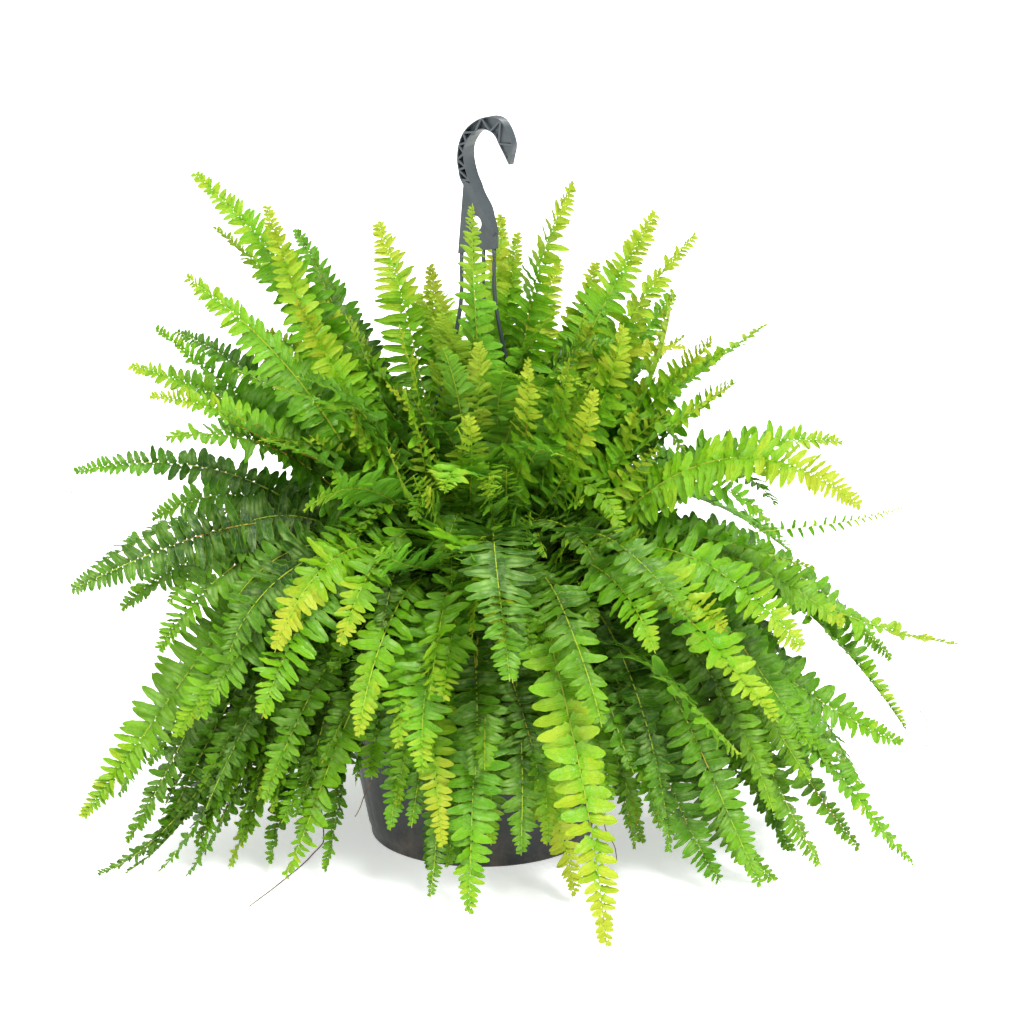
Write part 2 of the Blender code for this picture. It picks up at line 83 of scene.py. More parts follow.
# Tip x, y, z in cm, launch and tip elevation in degrees and arch (these repeat part.py); then how far
# the face turns to the front (0 natural, 1 fully), leaflet length and spacing in mm, and age, from 0 lime
# to 1 deep green.
FRONDS = {
    "skirt": [
        (-32.3, -7, 3.2, 74, -52, 0.7, 0.55, 26, 8, 0.35),
        (-30.8, -13, 0.8, 74, -5, 0.6, 0.2, 23, 7.5, 0.75),
        (-20.2, -11.7, 0.8, 76, -62, 0.7, 0.35, 25, 8, 0.25),
        (-12.6, -12.8, 1, 76, -72, 0.85, 0.2, 19, 7, 0.6),
        (-3.9, -18, 0.8, 78, -82, 0.9, 0, 16, 7.5, 0.58),
        (-0.5, -21.6, 0.8, 76, -72, 0.75, 0, 24, 9.5, 0.38),
        (9.7, -28.5, 0.8, 72, -60, 0.7, 0, 25, 11, 0.22),
        (18.9, -15.2, 0.8, 76, -42, 0.75, 0.1, 28, 8.5, 0.45),
        (23.5, -14.5, 0.8, 74, -30, 0.7, 0.2, 26, 8.5, 0.55),
        (27.7, -10.8, 0.8, 74, -52, 0.7, 0.3, 25, 8, 0.45),
        (34.7, -11.3, 0.8, 74, -42, 0.65, 0.4, 19, 8.5, 0.4),
        (-31, 6, 0.8, 72, -60, 0.7, 0.1, 26, 8, 0.6),
        (-24, 17, 0.8, 72, -60, 0.7, 0, 26, 8, 0.6),
        (-14, 26, 0.8, 74, -58, 0.7, 0, 29, 8, 0.5),
        (-3, 28, 0.8, 72, -60, 0.7, 0, 29, 8.5, 0.45),
        (8, 29, 0.8, 74, -60, 0.7, 0, 29, 8.5, 0.55),
        (18, 24, 0.8, 72, -60, 0.7, 0, 28, 8, 0.5),
        (30, 13, 0.8, 72, -60, 0.7, 0, 26, 8, 0.55),
        (32.5, 8.5, 0.8, 72, -58, 0.7, 0.2, 26, 8, 0.5),
    ],
    "middle": [
        (-32.8, -3.5, 31.5, 60, -10, 0.45, 0.35, 19, 8, 0.55),
        (-32.6, -8.8, 23, 68, -25, 0.6, 0.65, 25, 7.5, 0.8),
        (-17, -20, 16.5, 72, -62, 0.8, 0.3, 29, 8.5, 0.45),
        (-9, -22, 15.5, 74, -70, 0.85, 0, 23, 9.5, 0.3),
        (2, -28, 22, 72, -65, 0.9, 0, 31, 8.5, 0.55),
        (20, -22.8, 14.5, 35, -25, 0.42, 0.2, 32, 11.5, 0.3),
        (34.2, -7.6, 10, 72, -8, 0.6, 0.5, 23, 9, 0.35),
        (39, -3, 17, 60, -4, 0.5, 0.45, 22, 8.5, 0.22),
        (29.4, -16.2, 32, 66, -32, 0.55, 0.5, 26, 8, 0.2),
        (34.9, 4, 27, 52, 20, 0.42, 0.45, 11, 9, 0.25),
        (27, 20, 18, 66, -38, 0.6, 0, 28, 8.5, 0.5),
        (10, 32, 20, 66, -35, 0.6, 0, 29, 8.5, 0.45),
        (-6.5, 31, 22, 66, -35, 0.6, 0, 29, 8.5, 0.45),
        (-26, 22, 16, 66, -42, 0.6, 0, 28, 8.5, 0.55),
        (-33, 8, 20, 64, -35, 0.55, 0.2, 26, 8.5, 0.55),
    ],
    "upper": [
        (-28.9, 3.5, 38.5, 62, 10, 0.42, 0.55, 23, 7.5, 0.25),
        (-23.3, -6, 48, 66, 38, 0.42, 0.6, 24, 7.5, 0.3),
        (-23.2, 6, 54.6, 68, 40, 0.42, 0.6, 23, 7.5, 0.15),
        (-16, 16, 47.5, 70, 45, 0.42, 0.55, 22, 7.5, 0.6),
        (17.5, 2.6, 49.8, 74, 45, 0.42, 0.45, 26, 8, 0.1),
        (24, 14, 40, 66, 25, 0.42, 0.3, 19, 7.5, 0.2),
        (29.6, 0.4, 33, 62, -5, 0.42, 0.55, 25, 7.5, 0.25),
        (12, 22, 42, 68, 30, 0.42, 0.2, 26, 8, 0.3),
        (-4, 26, 40, 66, 20, 0.42, 0.1, 26, 8, 0.3),
        (-14, -14, 42, 70, 20, 0.42, 0.2, 26, 8, 0.35),
        (26.5, -10.5, 25.5, 68, -14, 0.5, 0.2, 26, 8, 0.25),
    ],
    "inner": [
        (7.6, -3, 55, 80, 62, 0.42, 0.6, 28, 8, 0.05),
        (-0.4, -6.5, 54, 84, 80, 0.42, 0.1, 22, 7.5, 0.1),
        (-8.8, 5, 50.5, 80, 65, 0.42, 0.7, 29, 7, 0.02),
        (14.5, 9, 50.5, 78, 50, 0.42, 0.6, 25, 7.5, 0.1),
        (2, 12, 48, 80, 60, 0.42, 0.3, 26, 8, 0.25),
        (-6, -10, 40, 80, 60, 0.42, 0.2, 25, 8, 0.25),
    ],
}
# More fronds, which have no node of their own: the tier, then the same columns with, after the arch, how
# far round in degrees the frond's root lies from its tip.
MORE_FRONDS = [
    ("upper", -17.5, 2, 52.5, 70, 75, 0.42, 0, 0.6, 20, 7.5, 0.12),
    ("upper", -21.8, 8, 49.5, 66, 35, 0.42, 0, 0.6, 22, 7.5, 0.18),
    ("upper", -13.8, 10, 46.5, 74, 60, 0.42, 0, 0.5, 22, 7.5, 0.55),
    ("upper", -26.8, 3, 42, 64, 35, 0.42, 0, 0.6, 20, 7.5, 0.28),
    ("upper", -26, 12, 39.5, 60, 15, 0.42, 0, 0.5, 19, 7, 0.7),
    ("upper", -26.4, -6, 38.3, 62, 5, 0.42, 0, 0.5, 20, 7, 0.22),
    ("upper", -25, -8, 35.5, 62, -5, 0.45, 0, 0.7, 30, 8.5, 0.32),
    ("upper", -19, -4, 44, 70, 40, 0.42, 0, 0.5, 24, 7.5, 0.2),
    ("upper", -14.5, -4, 46, 74, 60, 0.42, 0, 0.5, 23, 7.5, 0.12),
    ("upper", -17, -10, 36, 68, 20, 0.45, 0, 0.4, 25, 8, 0.35),
    ("inner", 1.8, 6, 51, 84, 80, 0.42, 0, 0.4, 20, 7.5, 0.12),
    ("inner", 2.7, 4, 50, 84, 75, 0.42, 0, 0.4, 18, 7.5, 0.18),
    ("inner", 6.8, 4, 47.3, 80, 62, 0.42, 0, 0.5, 24, 7.5, 0.12),
    ("inner", 9.2, 8, 46.7, 80, 70, 0.42, 0, 0.5, 24, 7.5, 0.18),
    ("upper", 15.3, -3, 46.5, 76, 85, 0.42, 0, 0.3, 26, 8, 0.06),
    ("inner", 11, -6, 44.5, 80, 85, 0.42, 0, 0.5, 24, 7.5, 0.1),
    ("inner", 7, -10, 42.5, 80, 85, 0.42, 0, 0.6, 22, 7.5, 0.08),
    ("inner", 8.6, -11, 40.5, 80, 85, 0.42, 0, 0.6, 20, 7.5, 0.12),
    ("inner", 4, -12, 43, 84, 85, 0.42, 0, 0.6, 20, 8, 0.05),
    ("inner", -6.3, -8, 44.5, 82, 70, 0.42, 0, 0.5, 25, 8, 0.08),
    ("inner", -1, -12, 38.6, 80, 80, 0.42, 0, 0.6, 20, 7.5, 0.12),
    ("inner", -0.4, -9, 43.5, 80, 60, 0.42, 0, 0.3, 23, 7.5, 0.12),
    ("inner", 12.5, -8, 38, 78, 75, 0.42, 0, 0.5, 22, 7.5, 0.15),
    ("inner", -10, -9, 38.5, 78, 70, 0.42, 0, 0.5, 22, 7.5, 0.15),
    ("upper", 20.5, -4, 39.5, 70, 40, 0.42, 0, 0.4, 24, 8, 0.2),
    ("upper", 25.5, 6, 29, 66, -10, 0.5, 0, 0.3, 25, 8, 0.3),
    ("upper", 23.5, -2, 27, 70, -50, 0.6, 0, 0.3, 24, 8, 0.35),
    ("upper", 19, -9, 33, 70, 10, 0.45, 0, 0.4, 25, 8, 0.15),
    ("middle", 34, 0, 15, 68, -45, 0.6, 0, 0.4, 22, 8, 0.4),
    ("middle", 34.7, -4, 10, 70, -55, 0.65, 0, 0.4, 20, 8, 0.35),
    ("skirt", 28.4, -10, 7.8, 72, -55, 0.7, 5, 0.4, 22, 8, 0.45),
    ("skirt", 26.3, -11, 8, 72, -60, 0.75, -6, 0.2, 23, 8, 0.55),
    ("skirt", 31, -5, 5.5, 72, -55, 0.7, 0, 0.3, 20, 8, 0.45),
    ("middle", 18.8, -20, 23.3, 68, -22, 0.6, 0, 0.1, 28, 8.5, 0.02),
    ("middle", 23.2, -18, 15.4, 60, -42, 0.6, 4, 0.3, 29, 9.5, 0.18),
    ("middle", 29, -8, 20, 70, -35, 0.6, 0, 0.5, 25, 8.5, 0.22),
    ("middle", 26, -14, 12, 70, -60, 0.7, 0, 0.4, 24, 8.5, 0.38),
    ("middle", 25, -15, 20, 70, -50, 0.65, 3, 0.4, 26, 8.5, 0.25),
    ("skirt", 15, -18.5, 4.7, 76, -85, 0.8, 0, 0, 20, 7.5, 0.75),
    ("skirt", 21.4, -12, 0.8, 74, -60, 0.7, 0, 0.3, 24, 8, 0.55),
    ("skirt", 14, -17, 6, 76, -75, 0.8, 0, 0, 22, 8, 0.45),
    ("skirt", 7.5, -17.5, 0.8, 74, -62, 0.8, -45, 0.1, 25, 8.5, 0.05),
    ("skirt", -2.4, -17, 3, 78, -84, 0.85, 3, 0, 20, 7.5, 0.48),
    ("skirt", 6.3, -18, 7, 76, -80, 0.8, 0, 0, 19, 7.5, 0.35),
    ("skirt", 3.5, -19.5, 5, 76, -80, 0.8, 0, 0, 23, 8, 0.6),
    ("middle", -4.4, -21.5, 12.5, 74, -80, 0.95, 0, 0, 28, 8.5, 0.42),
    ("middle", 1.9, -25, 22, 72, -66, 0.9, -35, -0.4, 29, 8.5, 0.04),
    ("middle", -6.5, -20, 14, 74, -76, 0.9, 3, 0, 24, 8.5, 0.28),
    ("middle", 9, -24, 17, 72, -66, 0.8, 0, 0, 26, 8.5, 0.4),
    ("middle", 13.5, -21, 22, 72, -45, 0.7, 0, 0, 25, 8.5, 0.28),
    ("skirt", -27, -10, 0.8, 74, -58, 0.7, 0, 0.3, 24, 8, 0.55),
    ("skirt", -27.2, -6, 7.6, 74, -50, 0.7, 0, 0.4, 24, 8, 0.48),
    ("skirt", -25.5, -8.5, 5, 74, -60, 0.7, -5, 0.3, 24, 8, 0.6),
    ("skirt", -22.5, -10.5, 6.5, 74, -64, 0.75, 4, 0.3, 26, 8, 0.42),
    ("skirt", -16.5, -13, 6, 76, -70, 0.8, 0, 0.2, 24, 8, 0.35),
    ("middle", -19.5, -15, 19.5, 74, -70, 0.8, 0, 0.5, 32, 9, 0.68),
    ("middle", -26, -8, 18, 70, -62, 0.7, 0, 0.5, 26, 8, 0.62),
    ("middle", -29, -4, 20, 68, -45, 0.6, 0, 0.4, 24, 8, 0.5),
    ("middle", -24, -12, 12, 72, -66, 0.75, 0, 0.4, 26, 8, 0.4),
    ("middle", -16, -19, 21.5, 74, -55, 0.8, 0, 0.2, 24, 8.5, 0.12),
    ("middle", -11, -19, 22, 74, -60, 0.9, 0, 0.1, 23, 8, 0.3),
    ("middle", -22, -15, 14.5, 72, -62, 0.75, -4, 0.4, 29, 8.5, 0.5),
    ("upper", 13.5, 3, 44.5, 76, 60, 0.42, 0, 0.5, 24, 8.5, 0.12),
    ("upper", 18.5, -2, 42.5, 74, 50, 0.42, 0, 0.4, 24, 8.5, 0.18),
    ("upper", 16, 9, 44, 74, 50, 0.42, 0, 0.4, 24, 8.5, 0.25),
    ("upper", 20, 5, 40, 72, 35, 0.42, 0, 0.5, 24, 8.5, 0.28),
    ("inner", -11, 1, 43.5, 78, 65, 0.42, 0, 0.5, 23, 8.5, 0.15),
    ("inner", -4.5, 7, 46.5, 82, 70, 0.42, 0, 0.5, 22, 8, 0.12),
    ("upper", -13, 4, 44, 76, 55, 0.42, 0, 0.5, 23, 8.5, 0.2),
    ("upper", -20, 0, 43.5, 70, 40, 0.42, 0, 0.5, 23, 8.5, 0.25),
    ("middle", -27, 2, 26, 66, -30, 0.55, 0, 0.5, 26, 8.5, 0.55),
    ("middle", -23, -6, 24.5, 70, -55, 0.7, 0, 0.5, 28, 8.5, 0.58),
    ("middle", -20, -9, 22, 72, -62, 0.75, 5, 0.5, 29, 8.5, 0.66),
    ("skirt", -28.5, -12.5, 0.8, 72, -20, 0.65, 6, 0.3, 22, 8.5, 0.72),
    ("skirt", -26, -12.5, 0.8, 74, -35, 0.65, -4, 0.2, 24, 8.5, 0.62),
    ("skirt", -23.5, -13.5, 0.8, 74, -45, 0.7, 5, 0.2, 24, 8.5, 0.7),
    ("skirt", -23, -11, 2.5, 74, -60, 0.75, -5, 0.3, 25, 8.5, 0.55),
    ("skirt", -29, -8.5, 2, 72, -55, 0.7, 4, 0.4, 24, 8.5, 0.58),
    ("skirt", -17, -11.5, 1, 76, -68, 0.8, 0, 0.2, 22, 8.5, 0.66),
    ("skirt", -20.5, -9, 9, 76, -68, 0.8, 5, 0.4, 26, 8.5, 0.5),
    ("skirt", 25.5, -8, 1, 74, -55, 0.75, 4, 0.2, 24, 8.5, 0.62),
    ("skirt", 30.5, -8.5, 1, 72, -50, 0.7, -4, 0.3, 20, 8.5, 0.48),
    ("skirt", 22, -9, 6, 76, -66, 0.8, 0, 0.3, 25, 8.5, 0.55),
    ("skirt", -10, -13.5, 8.5, 78, -80, 0.9, 0, 0.1, 23, 8, 0.55),
    ("skirt", -13, -12, 6.5, 76, -75, 0.85, 4, 0.2, 25, 8, 0.5),
    ("skirt", -8.4, -13.8, 9.2, 78, -82, 0.92, -4, 0, 25, 8, 0.46),
]
# Filling fronds: the tier, how many, the age, then the ranges of azimuth in degrees, tip radius and height
# in cm, launch and tip elevation in degrees, arch, turn of the face to the front and leaflet length in mm.
FILL = [
    ("skirt", 26, 0.5, (-118, -32), (15, 20), (1.5, 13), (74, 80),
     (-85, -70), (0.8, 0.95), (0, 0.3), (17, 23)),
    ("skirt", 16, 0.5, (-168, -130), (19, 26), (1.5, 8), (72, 78),
     (-75, -50), (0.65, 0.8), (0, 0.3), (22, 28)),
    ("skirt", 50, 0.58, (-40, 220), (20, 28), (0.8, 9), (70, 78),
     (-75, -50), (0.6, 0.8), (0, 0.3), (22, 28)),
    ("middle", 62, 0.52, (0, 360), (16, 27), (11, 26), (66, 76),
     (-70, -25), (0.6, 0.9), (0, 0.3), (22, 29)),
    ("upper", 60, 0.32, (0, 360), (9, 23), (25, 42), (66, 78),
     (-25, 40), (0.42, 0.6), (0, 0.3), (20, 27)),
    ("upper", 40, 0.46, (0, 360), (9, 19), (22, 33), (74, 84),
     (-70, -20), (0.85, 1.05), (0, 0.3), (18, 26)),
    ("middle", 40, 0.6, (-165, -15), (9, 17), (17, 29), (72, 84),
     (-75, 0), (0.8, 1.15), (0, 0.3), (15, 24)),
    ("young", 46, 0.3, (-165, -15), (7, 17), (25, 40), (76, 86),
     (30, 75), (0.4, 0.55), (0.5, 0.95), (18, 22)),
    ("young", 14, 0.3, (0, 180), (7, 17), (28, 40), (76, 86), (30, 75),
     (0.4, 0.55), (-0.6, 0), (18, 22)),
    ("inner", 40, 0.18, (0, 360), (3, 12), (33, 47), (76, 86), (35, 75), (0.4, 0.5), (0, 0.4), (17, 24)),
]
FILL_SPACING = (7.6, 9.2)  # mm from one leaflet to the next
YOUNG_SPACING = (10.0, 12.5)  # the same on young fronds
TIP_PULL = 0.40  # how far before the tip the route's last control point lies, as a share of the reach
ROUTE_STEPS = 48
RACHIS_SIDES = 6
STALK_SHARE = 0.17  # the bare stalk's share of a frond
STALK_BASE = 1.2 * MM
STALK_TIP = 0.3 * MM
STALK_WOBBLE = 3.5 * MM
PINNA_STEPS = 10
PINNA_THICKNESS = 0.3 * MM
PINNA_HALF = 0.56  # half a leaflet's width as a share of the spacing, so that neighbours overlap
PINNA_RIPPLE = 0.055  # the crenate margin, as a share of the width
PINNA_EAR = 0.26  # the lobe at the base, as a share of the width
PINNA_WAVE = 0.18  # how far the margins undulate, as a share of half the width
# Mean and spread of each leaflet's own lift and roll, and of its sag, hook to the tip and fold as shares
LIFT = (10, 9)  # degrees
ROLL = (0.12, 0.22)  # radians
SAG = (0.10, 0.11)
HOOKED = (0.15, 0.05)
FOLD = (0.14, 0.12)
CELL_ASPECT = 2.1  # a leaflet's cell on the bake map is this many times as long as it is high
LEAFLETS_SHARE = 0.93  # the part of the bake map that holds the leaflets


def unit(vectors):
    return vectors / np.linalg.norm(vectors, axis=-1, keepdims=True)


def smoothstep(low, high, value):
    share = np.clip((value - low) / (high - low), 0.0, 1.0)
    return share * share * (3 - 2 * share)


def direction(azimuth, elevation):
    """The unit vector at an azimuth from +X and an elevation, both in radians."""
    flat = math.cos(elevation)
    return np.array([flat * math.cos(azimuth), flat * math.sin(azimuth), math.sin(elevation)])


def frond_route(ring, tip, launch, droop, arch, root_turn):
    """Evenly spaced points along a frond's stalk: a cubic curve from the crown to its tip."""
    azimuth = math.atan2(tip[1], tip[0])
    root = direction(azimuth + root_turn, 0.0) * ring
    root[2] = ROOT_HEIGHT
    reach = np.linalg.norm(tip - root)
    first = root + direction(azimuth + root_turn, math.radians(launch)) * arch * reach
    second = tip - direction(azimuth, math.radians(droop)) * TIP_PULL * reach
    t = np.linspace(0.0, 1.0, 4 * ROUTE_STEPS)[:, None]
    u = 1 - t
    line = u**3 * root + 3 * u * u * t * first + 3 * u * t * t * second + t**3 * tip
    lengths = np.concatenate([[0.0], np.cumsum(np.linalg.norm(np.diff(line, axis=0), axis=1))])
    even = np.linspace(0.0, lengths[-1], ROUTE_STEPS)
    line = np.stack([np.interp(even, lengths, line[:, k]) for k in range(3)], axis=1)
    line[:, 2] = np.maximum(line[:, 2], FLOOR_CLEAR)
    return line, lengths[-1]


def frond_frames(line, azimuth, face, twist):
    """Unit tangent, side and upper normal at each point of a route."""
    tangent = unit(np.gradient(line, axis=0))
    flat_side = np.array([-math.sin(azimuth), math.cos(azimuth), 0.0])
    side = unit(flat_side - (tangent @ flat_side)[:, None] * tangent)
    normal = np.cross(tangent, side)
    forward = FRONT - (tangent @ FRONT)[:, None] * tangent
    turned = unit(normal * (1 - abs(face)) + forward * face)
    share = smoothstep(0.05, 0.5, np.linspace(0.0, 1.0, len(line)))[:, None]
    normal = unit(normal * (1 - share) + turned * share)
    side = np.cross(normal, tangent)
    angle = (np.linspace(0.0, 1.0, len(line)) * twist)[:, None]
    return (
        tangent,
        side * np.cos(angle) + normal * np.sin(angle),
        normal * np.cos(angle) - side * np.sin(angle),
    )


def pinna_template(steps):
    """A unit leaflet: points as (along, across, height, thickness), faces and their undersides.

    Across runs -1 to 1, with the ear at the base on the side towards the frond's tip.
    """
    along = (1 - np.cos(np.pi * np.arange(steps + 1) / steps)) / 2
    across = np.array([-1.0, -0.5, 0.0, 0.5, 1.0])
    wide = len(across)
    top = [(t, v, 0.0) for t in along[:-1] for v in across]
    tip = len(top)
    top.append((1.0, 0.0, 0.0))
    under_start = len(top)
    under = [(t, v, 1.0) for t in along[:-1] for v in across[1:-1]]
    points = np.array(top + under)

    def top_index(j, k):
        return tip if j == steps else j * wide + k

    def under_index(j, k):
        if j == steps or k in (0, wide - 1):
            return top_index(j, k)
        return under_start + j * (wide - 2) + k - 1

    faces = []
    flags = []
    for j in range(steps):
        for k in range(wide - 1):
            for flag, index in enumerate((top_index, under_index)):
                first, last = (index(j + 1, k), index(j, k + 1))[:: 1 - 2 * flag]
                loop = [index(j, k), first, index(j + 1, k + 1), last]
                if j == steps - 1:
                    loop.pop(2)
                faces.append(loop)
                flags.append(flag)
    for k in range(wide - 1):
        loop = [top_index(0, k), top_index(0, k + 1), under_index(0, k + 1), under_index(0, k)]
        faces.append(list(dict.fromkeys(loop)))
        flags.append(1)
    return points, faces, np.array(flags)


def pinna_outline(along, steps):
    """Half widths, as shares of the widest, on the tip side and on the base side."""
    station = np.arccos(1 - 2 * along) / np.pi * steps
    body = np.clip(1 - (np.clip(along - 0.14, 0, 1) / 0.86) ** 3.1, 0, 1) ** 0.62
    neck = 0.72 + 0.28 * smoothstep(0.0, 0.08, along)
    ripple = 1 + PINNA_RIPPLE * np.cos(np.pi * station)
    ear = 1 + PINNA_EAR * np.exp(-(((along - 0.085) / 0.06) ** 2))
    return neck * body * ripple * ear, 0.93 * neck * body * ripple


class Template:
    """The leaflet's shape, with its faces as flat corner lists for copying."""

    def __init__(self, steps):
        points, faces, self.under = pinna_template(steps)
        upper, lower = pinna_outline(points[:, 0], steps)
        self.along = points[:, 0]
        self.across = points[:, 1]
        self.width = points[:, 1] * np.where(points[:, 1] > 0, upper, lower)
        self.belly = points[:, 2] * (1 - points[:, 1] ** 2)
        self.corners = np.array([index for face in faces for index in face])
        self.sizes = np.array([len(face) for face in faces])
        starts = np.concatenate([[0], np.cumsum(self.sizes)])
        turned = [np.arange(high - 1, low - 1, -1) for low, high in zip(starts[:-1], starts[1:])]
        self.reverse = np.concatenate(turned)  # the same corners with every face turned over
        # where each corner lies in a leaflet's cell of the bake map: the upper side above, the lower below
        below = np.repeat(self.under, self.sizes) > 0
        along, across = self.along[self.corners], self.across[self.corners]
        at_base = along - 0.03 * (self.belly[self.corners] > 0) * (along == 0)
        share = (across + 1) / 2
        height = np.where(below, 0.72 + 0.25 * share, 0.03 + 0.66 * share)
        self.map = np.stack([0.06 + 0.90 * at_base, height], axis=1)


FINE = Template(PINNA_STEPS)
COARSE = Template(PINNA_STEPS - 3)


def add_bake_map(mesh, template, flip, rings):
    """A map for baking: a cell for each leaflet, and a strip at the top for the stalk."""
    count = len(flip)
    columns = math.ceil(math.sqrt(count / CELL_ASPECT))
    cell = np.array([1 / columns, LEAFLETS_SHARE / math.ceil(count / columns)])
    index = np.arange(count)
    origin = np.stack([index % columns, index // columns], axis=1) * cell
    local = np.where(flip[:, None, None], template.map[None], template.map[template.reverse][None])
    leaflets = (origin[:, None] + local * cell).reshape(-1, 2)
    across, along = np.meshgrid(np.arange(RACHIS_SIDES), np.arange(rings - 1))
    along = (along[:, :, None] + np.array([0, 0, 1, 1])) / (rings - 1)
    across = (across[:, :, None] + np.array([0, 1, 1, 0])) / RACHIS_SIDES
    strip = np.stack([0.01 + 0.97 * along, LEAFLETS_SHARE + 0.01 + 0.05 * across], axis=-1).reshape(-1, 2)
    turn = 2 * np.pi * np.arange(RACHIS_SIDES) / RACHIS_SIDES
    disc = 0.003 * np.stack([np.cos(turn), np.sin(turn)], axis=1) + [0.0, LEAFLETS_SHARE + 0.035]
    places = np.concatenate([leaflets, strip, disc[::-1] + [0.004, 0.0], disc + [0.992, 0.0]])
    layer = mesh.uv_layers.new(name="OFBake")
    layer.data.foreach_set("uv", places.astype(np.float32).ravel())


def pinna_spots(length, spacing, first):
    """Distances along the stalk of a row's leaflets, closing up towards the tip."""
    spots = []
    at = STALK_SHARE * length + first * spacing
    while at < length - 3 * MM:
        spots.append(at)
        share = (at / length - STALK_SHARE) / (1 - STALK_SHARE)
        at += spacing * pinna_pitch(share)
    return np.array(spots)


def pinna_pitch(share):
    """How close the leaflets of a row stand, as a share of their spacing at mid blade."""
    return 1.0 - 0.55 * smoothstep(0.62, 1.0, share)


def length_profile(share):
    """A leaflet's length by its place along the blade: short at the foot, long at mid, tiny at the tip."""
    rise = 0.50 + 0.50 * smoothstep(0.0, 0.16, share)
    fall = np.clip(1 - (np.clip(share - 0.48, 0, 1) / 0.54) ** 2.0, 0.0, 1.0)
    return rise * (0.08 + 0.92 * fall)


def make_mesh(name, points, corners, sizes):
    mesh = bpy.data.meshes.new(name)
    mesh.vertices.add(len(points))
    mesh.vertices.foreach_set("co", points.astype(np.float32).ravel())
    mesh.loops.add(len(corners))
    mesh.loops.foreach_set("vertex_index", corners.astype(np.int32))
    mesh.polygons.add(len(sizes))
    starts = np.concatenate([[0], np.cumsum(sizes)[:-1]]).astype(np.int32)
    mesh.polygons.foreach_set("loop_start", starts)
    mesh.update(calc_edges=True)
    mesh.shade_smooth()
    return mesh


def add_values(mesh, name, kind, domain, values):
    layer = mesh.attributes.new(name, kind, domain)
    field = "vector" if kind == "FLOAT_VECTOR" else "value"
    layer.data.foreach_set(field, np.ascontiguousarray(values, np.float32).ravel())


def link(obj, mat=None):
    bpy.context.scene.collection.objects.link(obj)
    if mat is not None:
        obj.data.materials.append(mat)
    return obj


def swept(line, side, normal, radius, sides):
    """Points, corners and face sizes of a round bar along a line, closed at both ends."""
    k = np.arange(sides)
    turn = 2 * np.pi * k / sides
    ring = side[:, None] * np.cos(turn)[None, :, None] + normal[:, None] * np.sin(turn)[None, :, None]
    points = (line[:, None] + radius[:, None, None] * ring).reshape(-1, 3)
    low = sides * np.arange(len(line) - 1)[:, None]
    after = (k + 1) % sides
    quads = np.stack([low + k, low + after, low + sides + after, low + sides + k], axis=-1)
    corners = np.concatenate([quads.ravel(), k[::-1], sides * (len(line) - 1) + k])
    return points, corners, np.array([4] * (quads.size // 4) + [sides, sides])


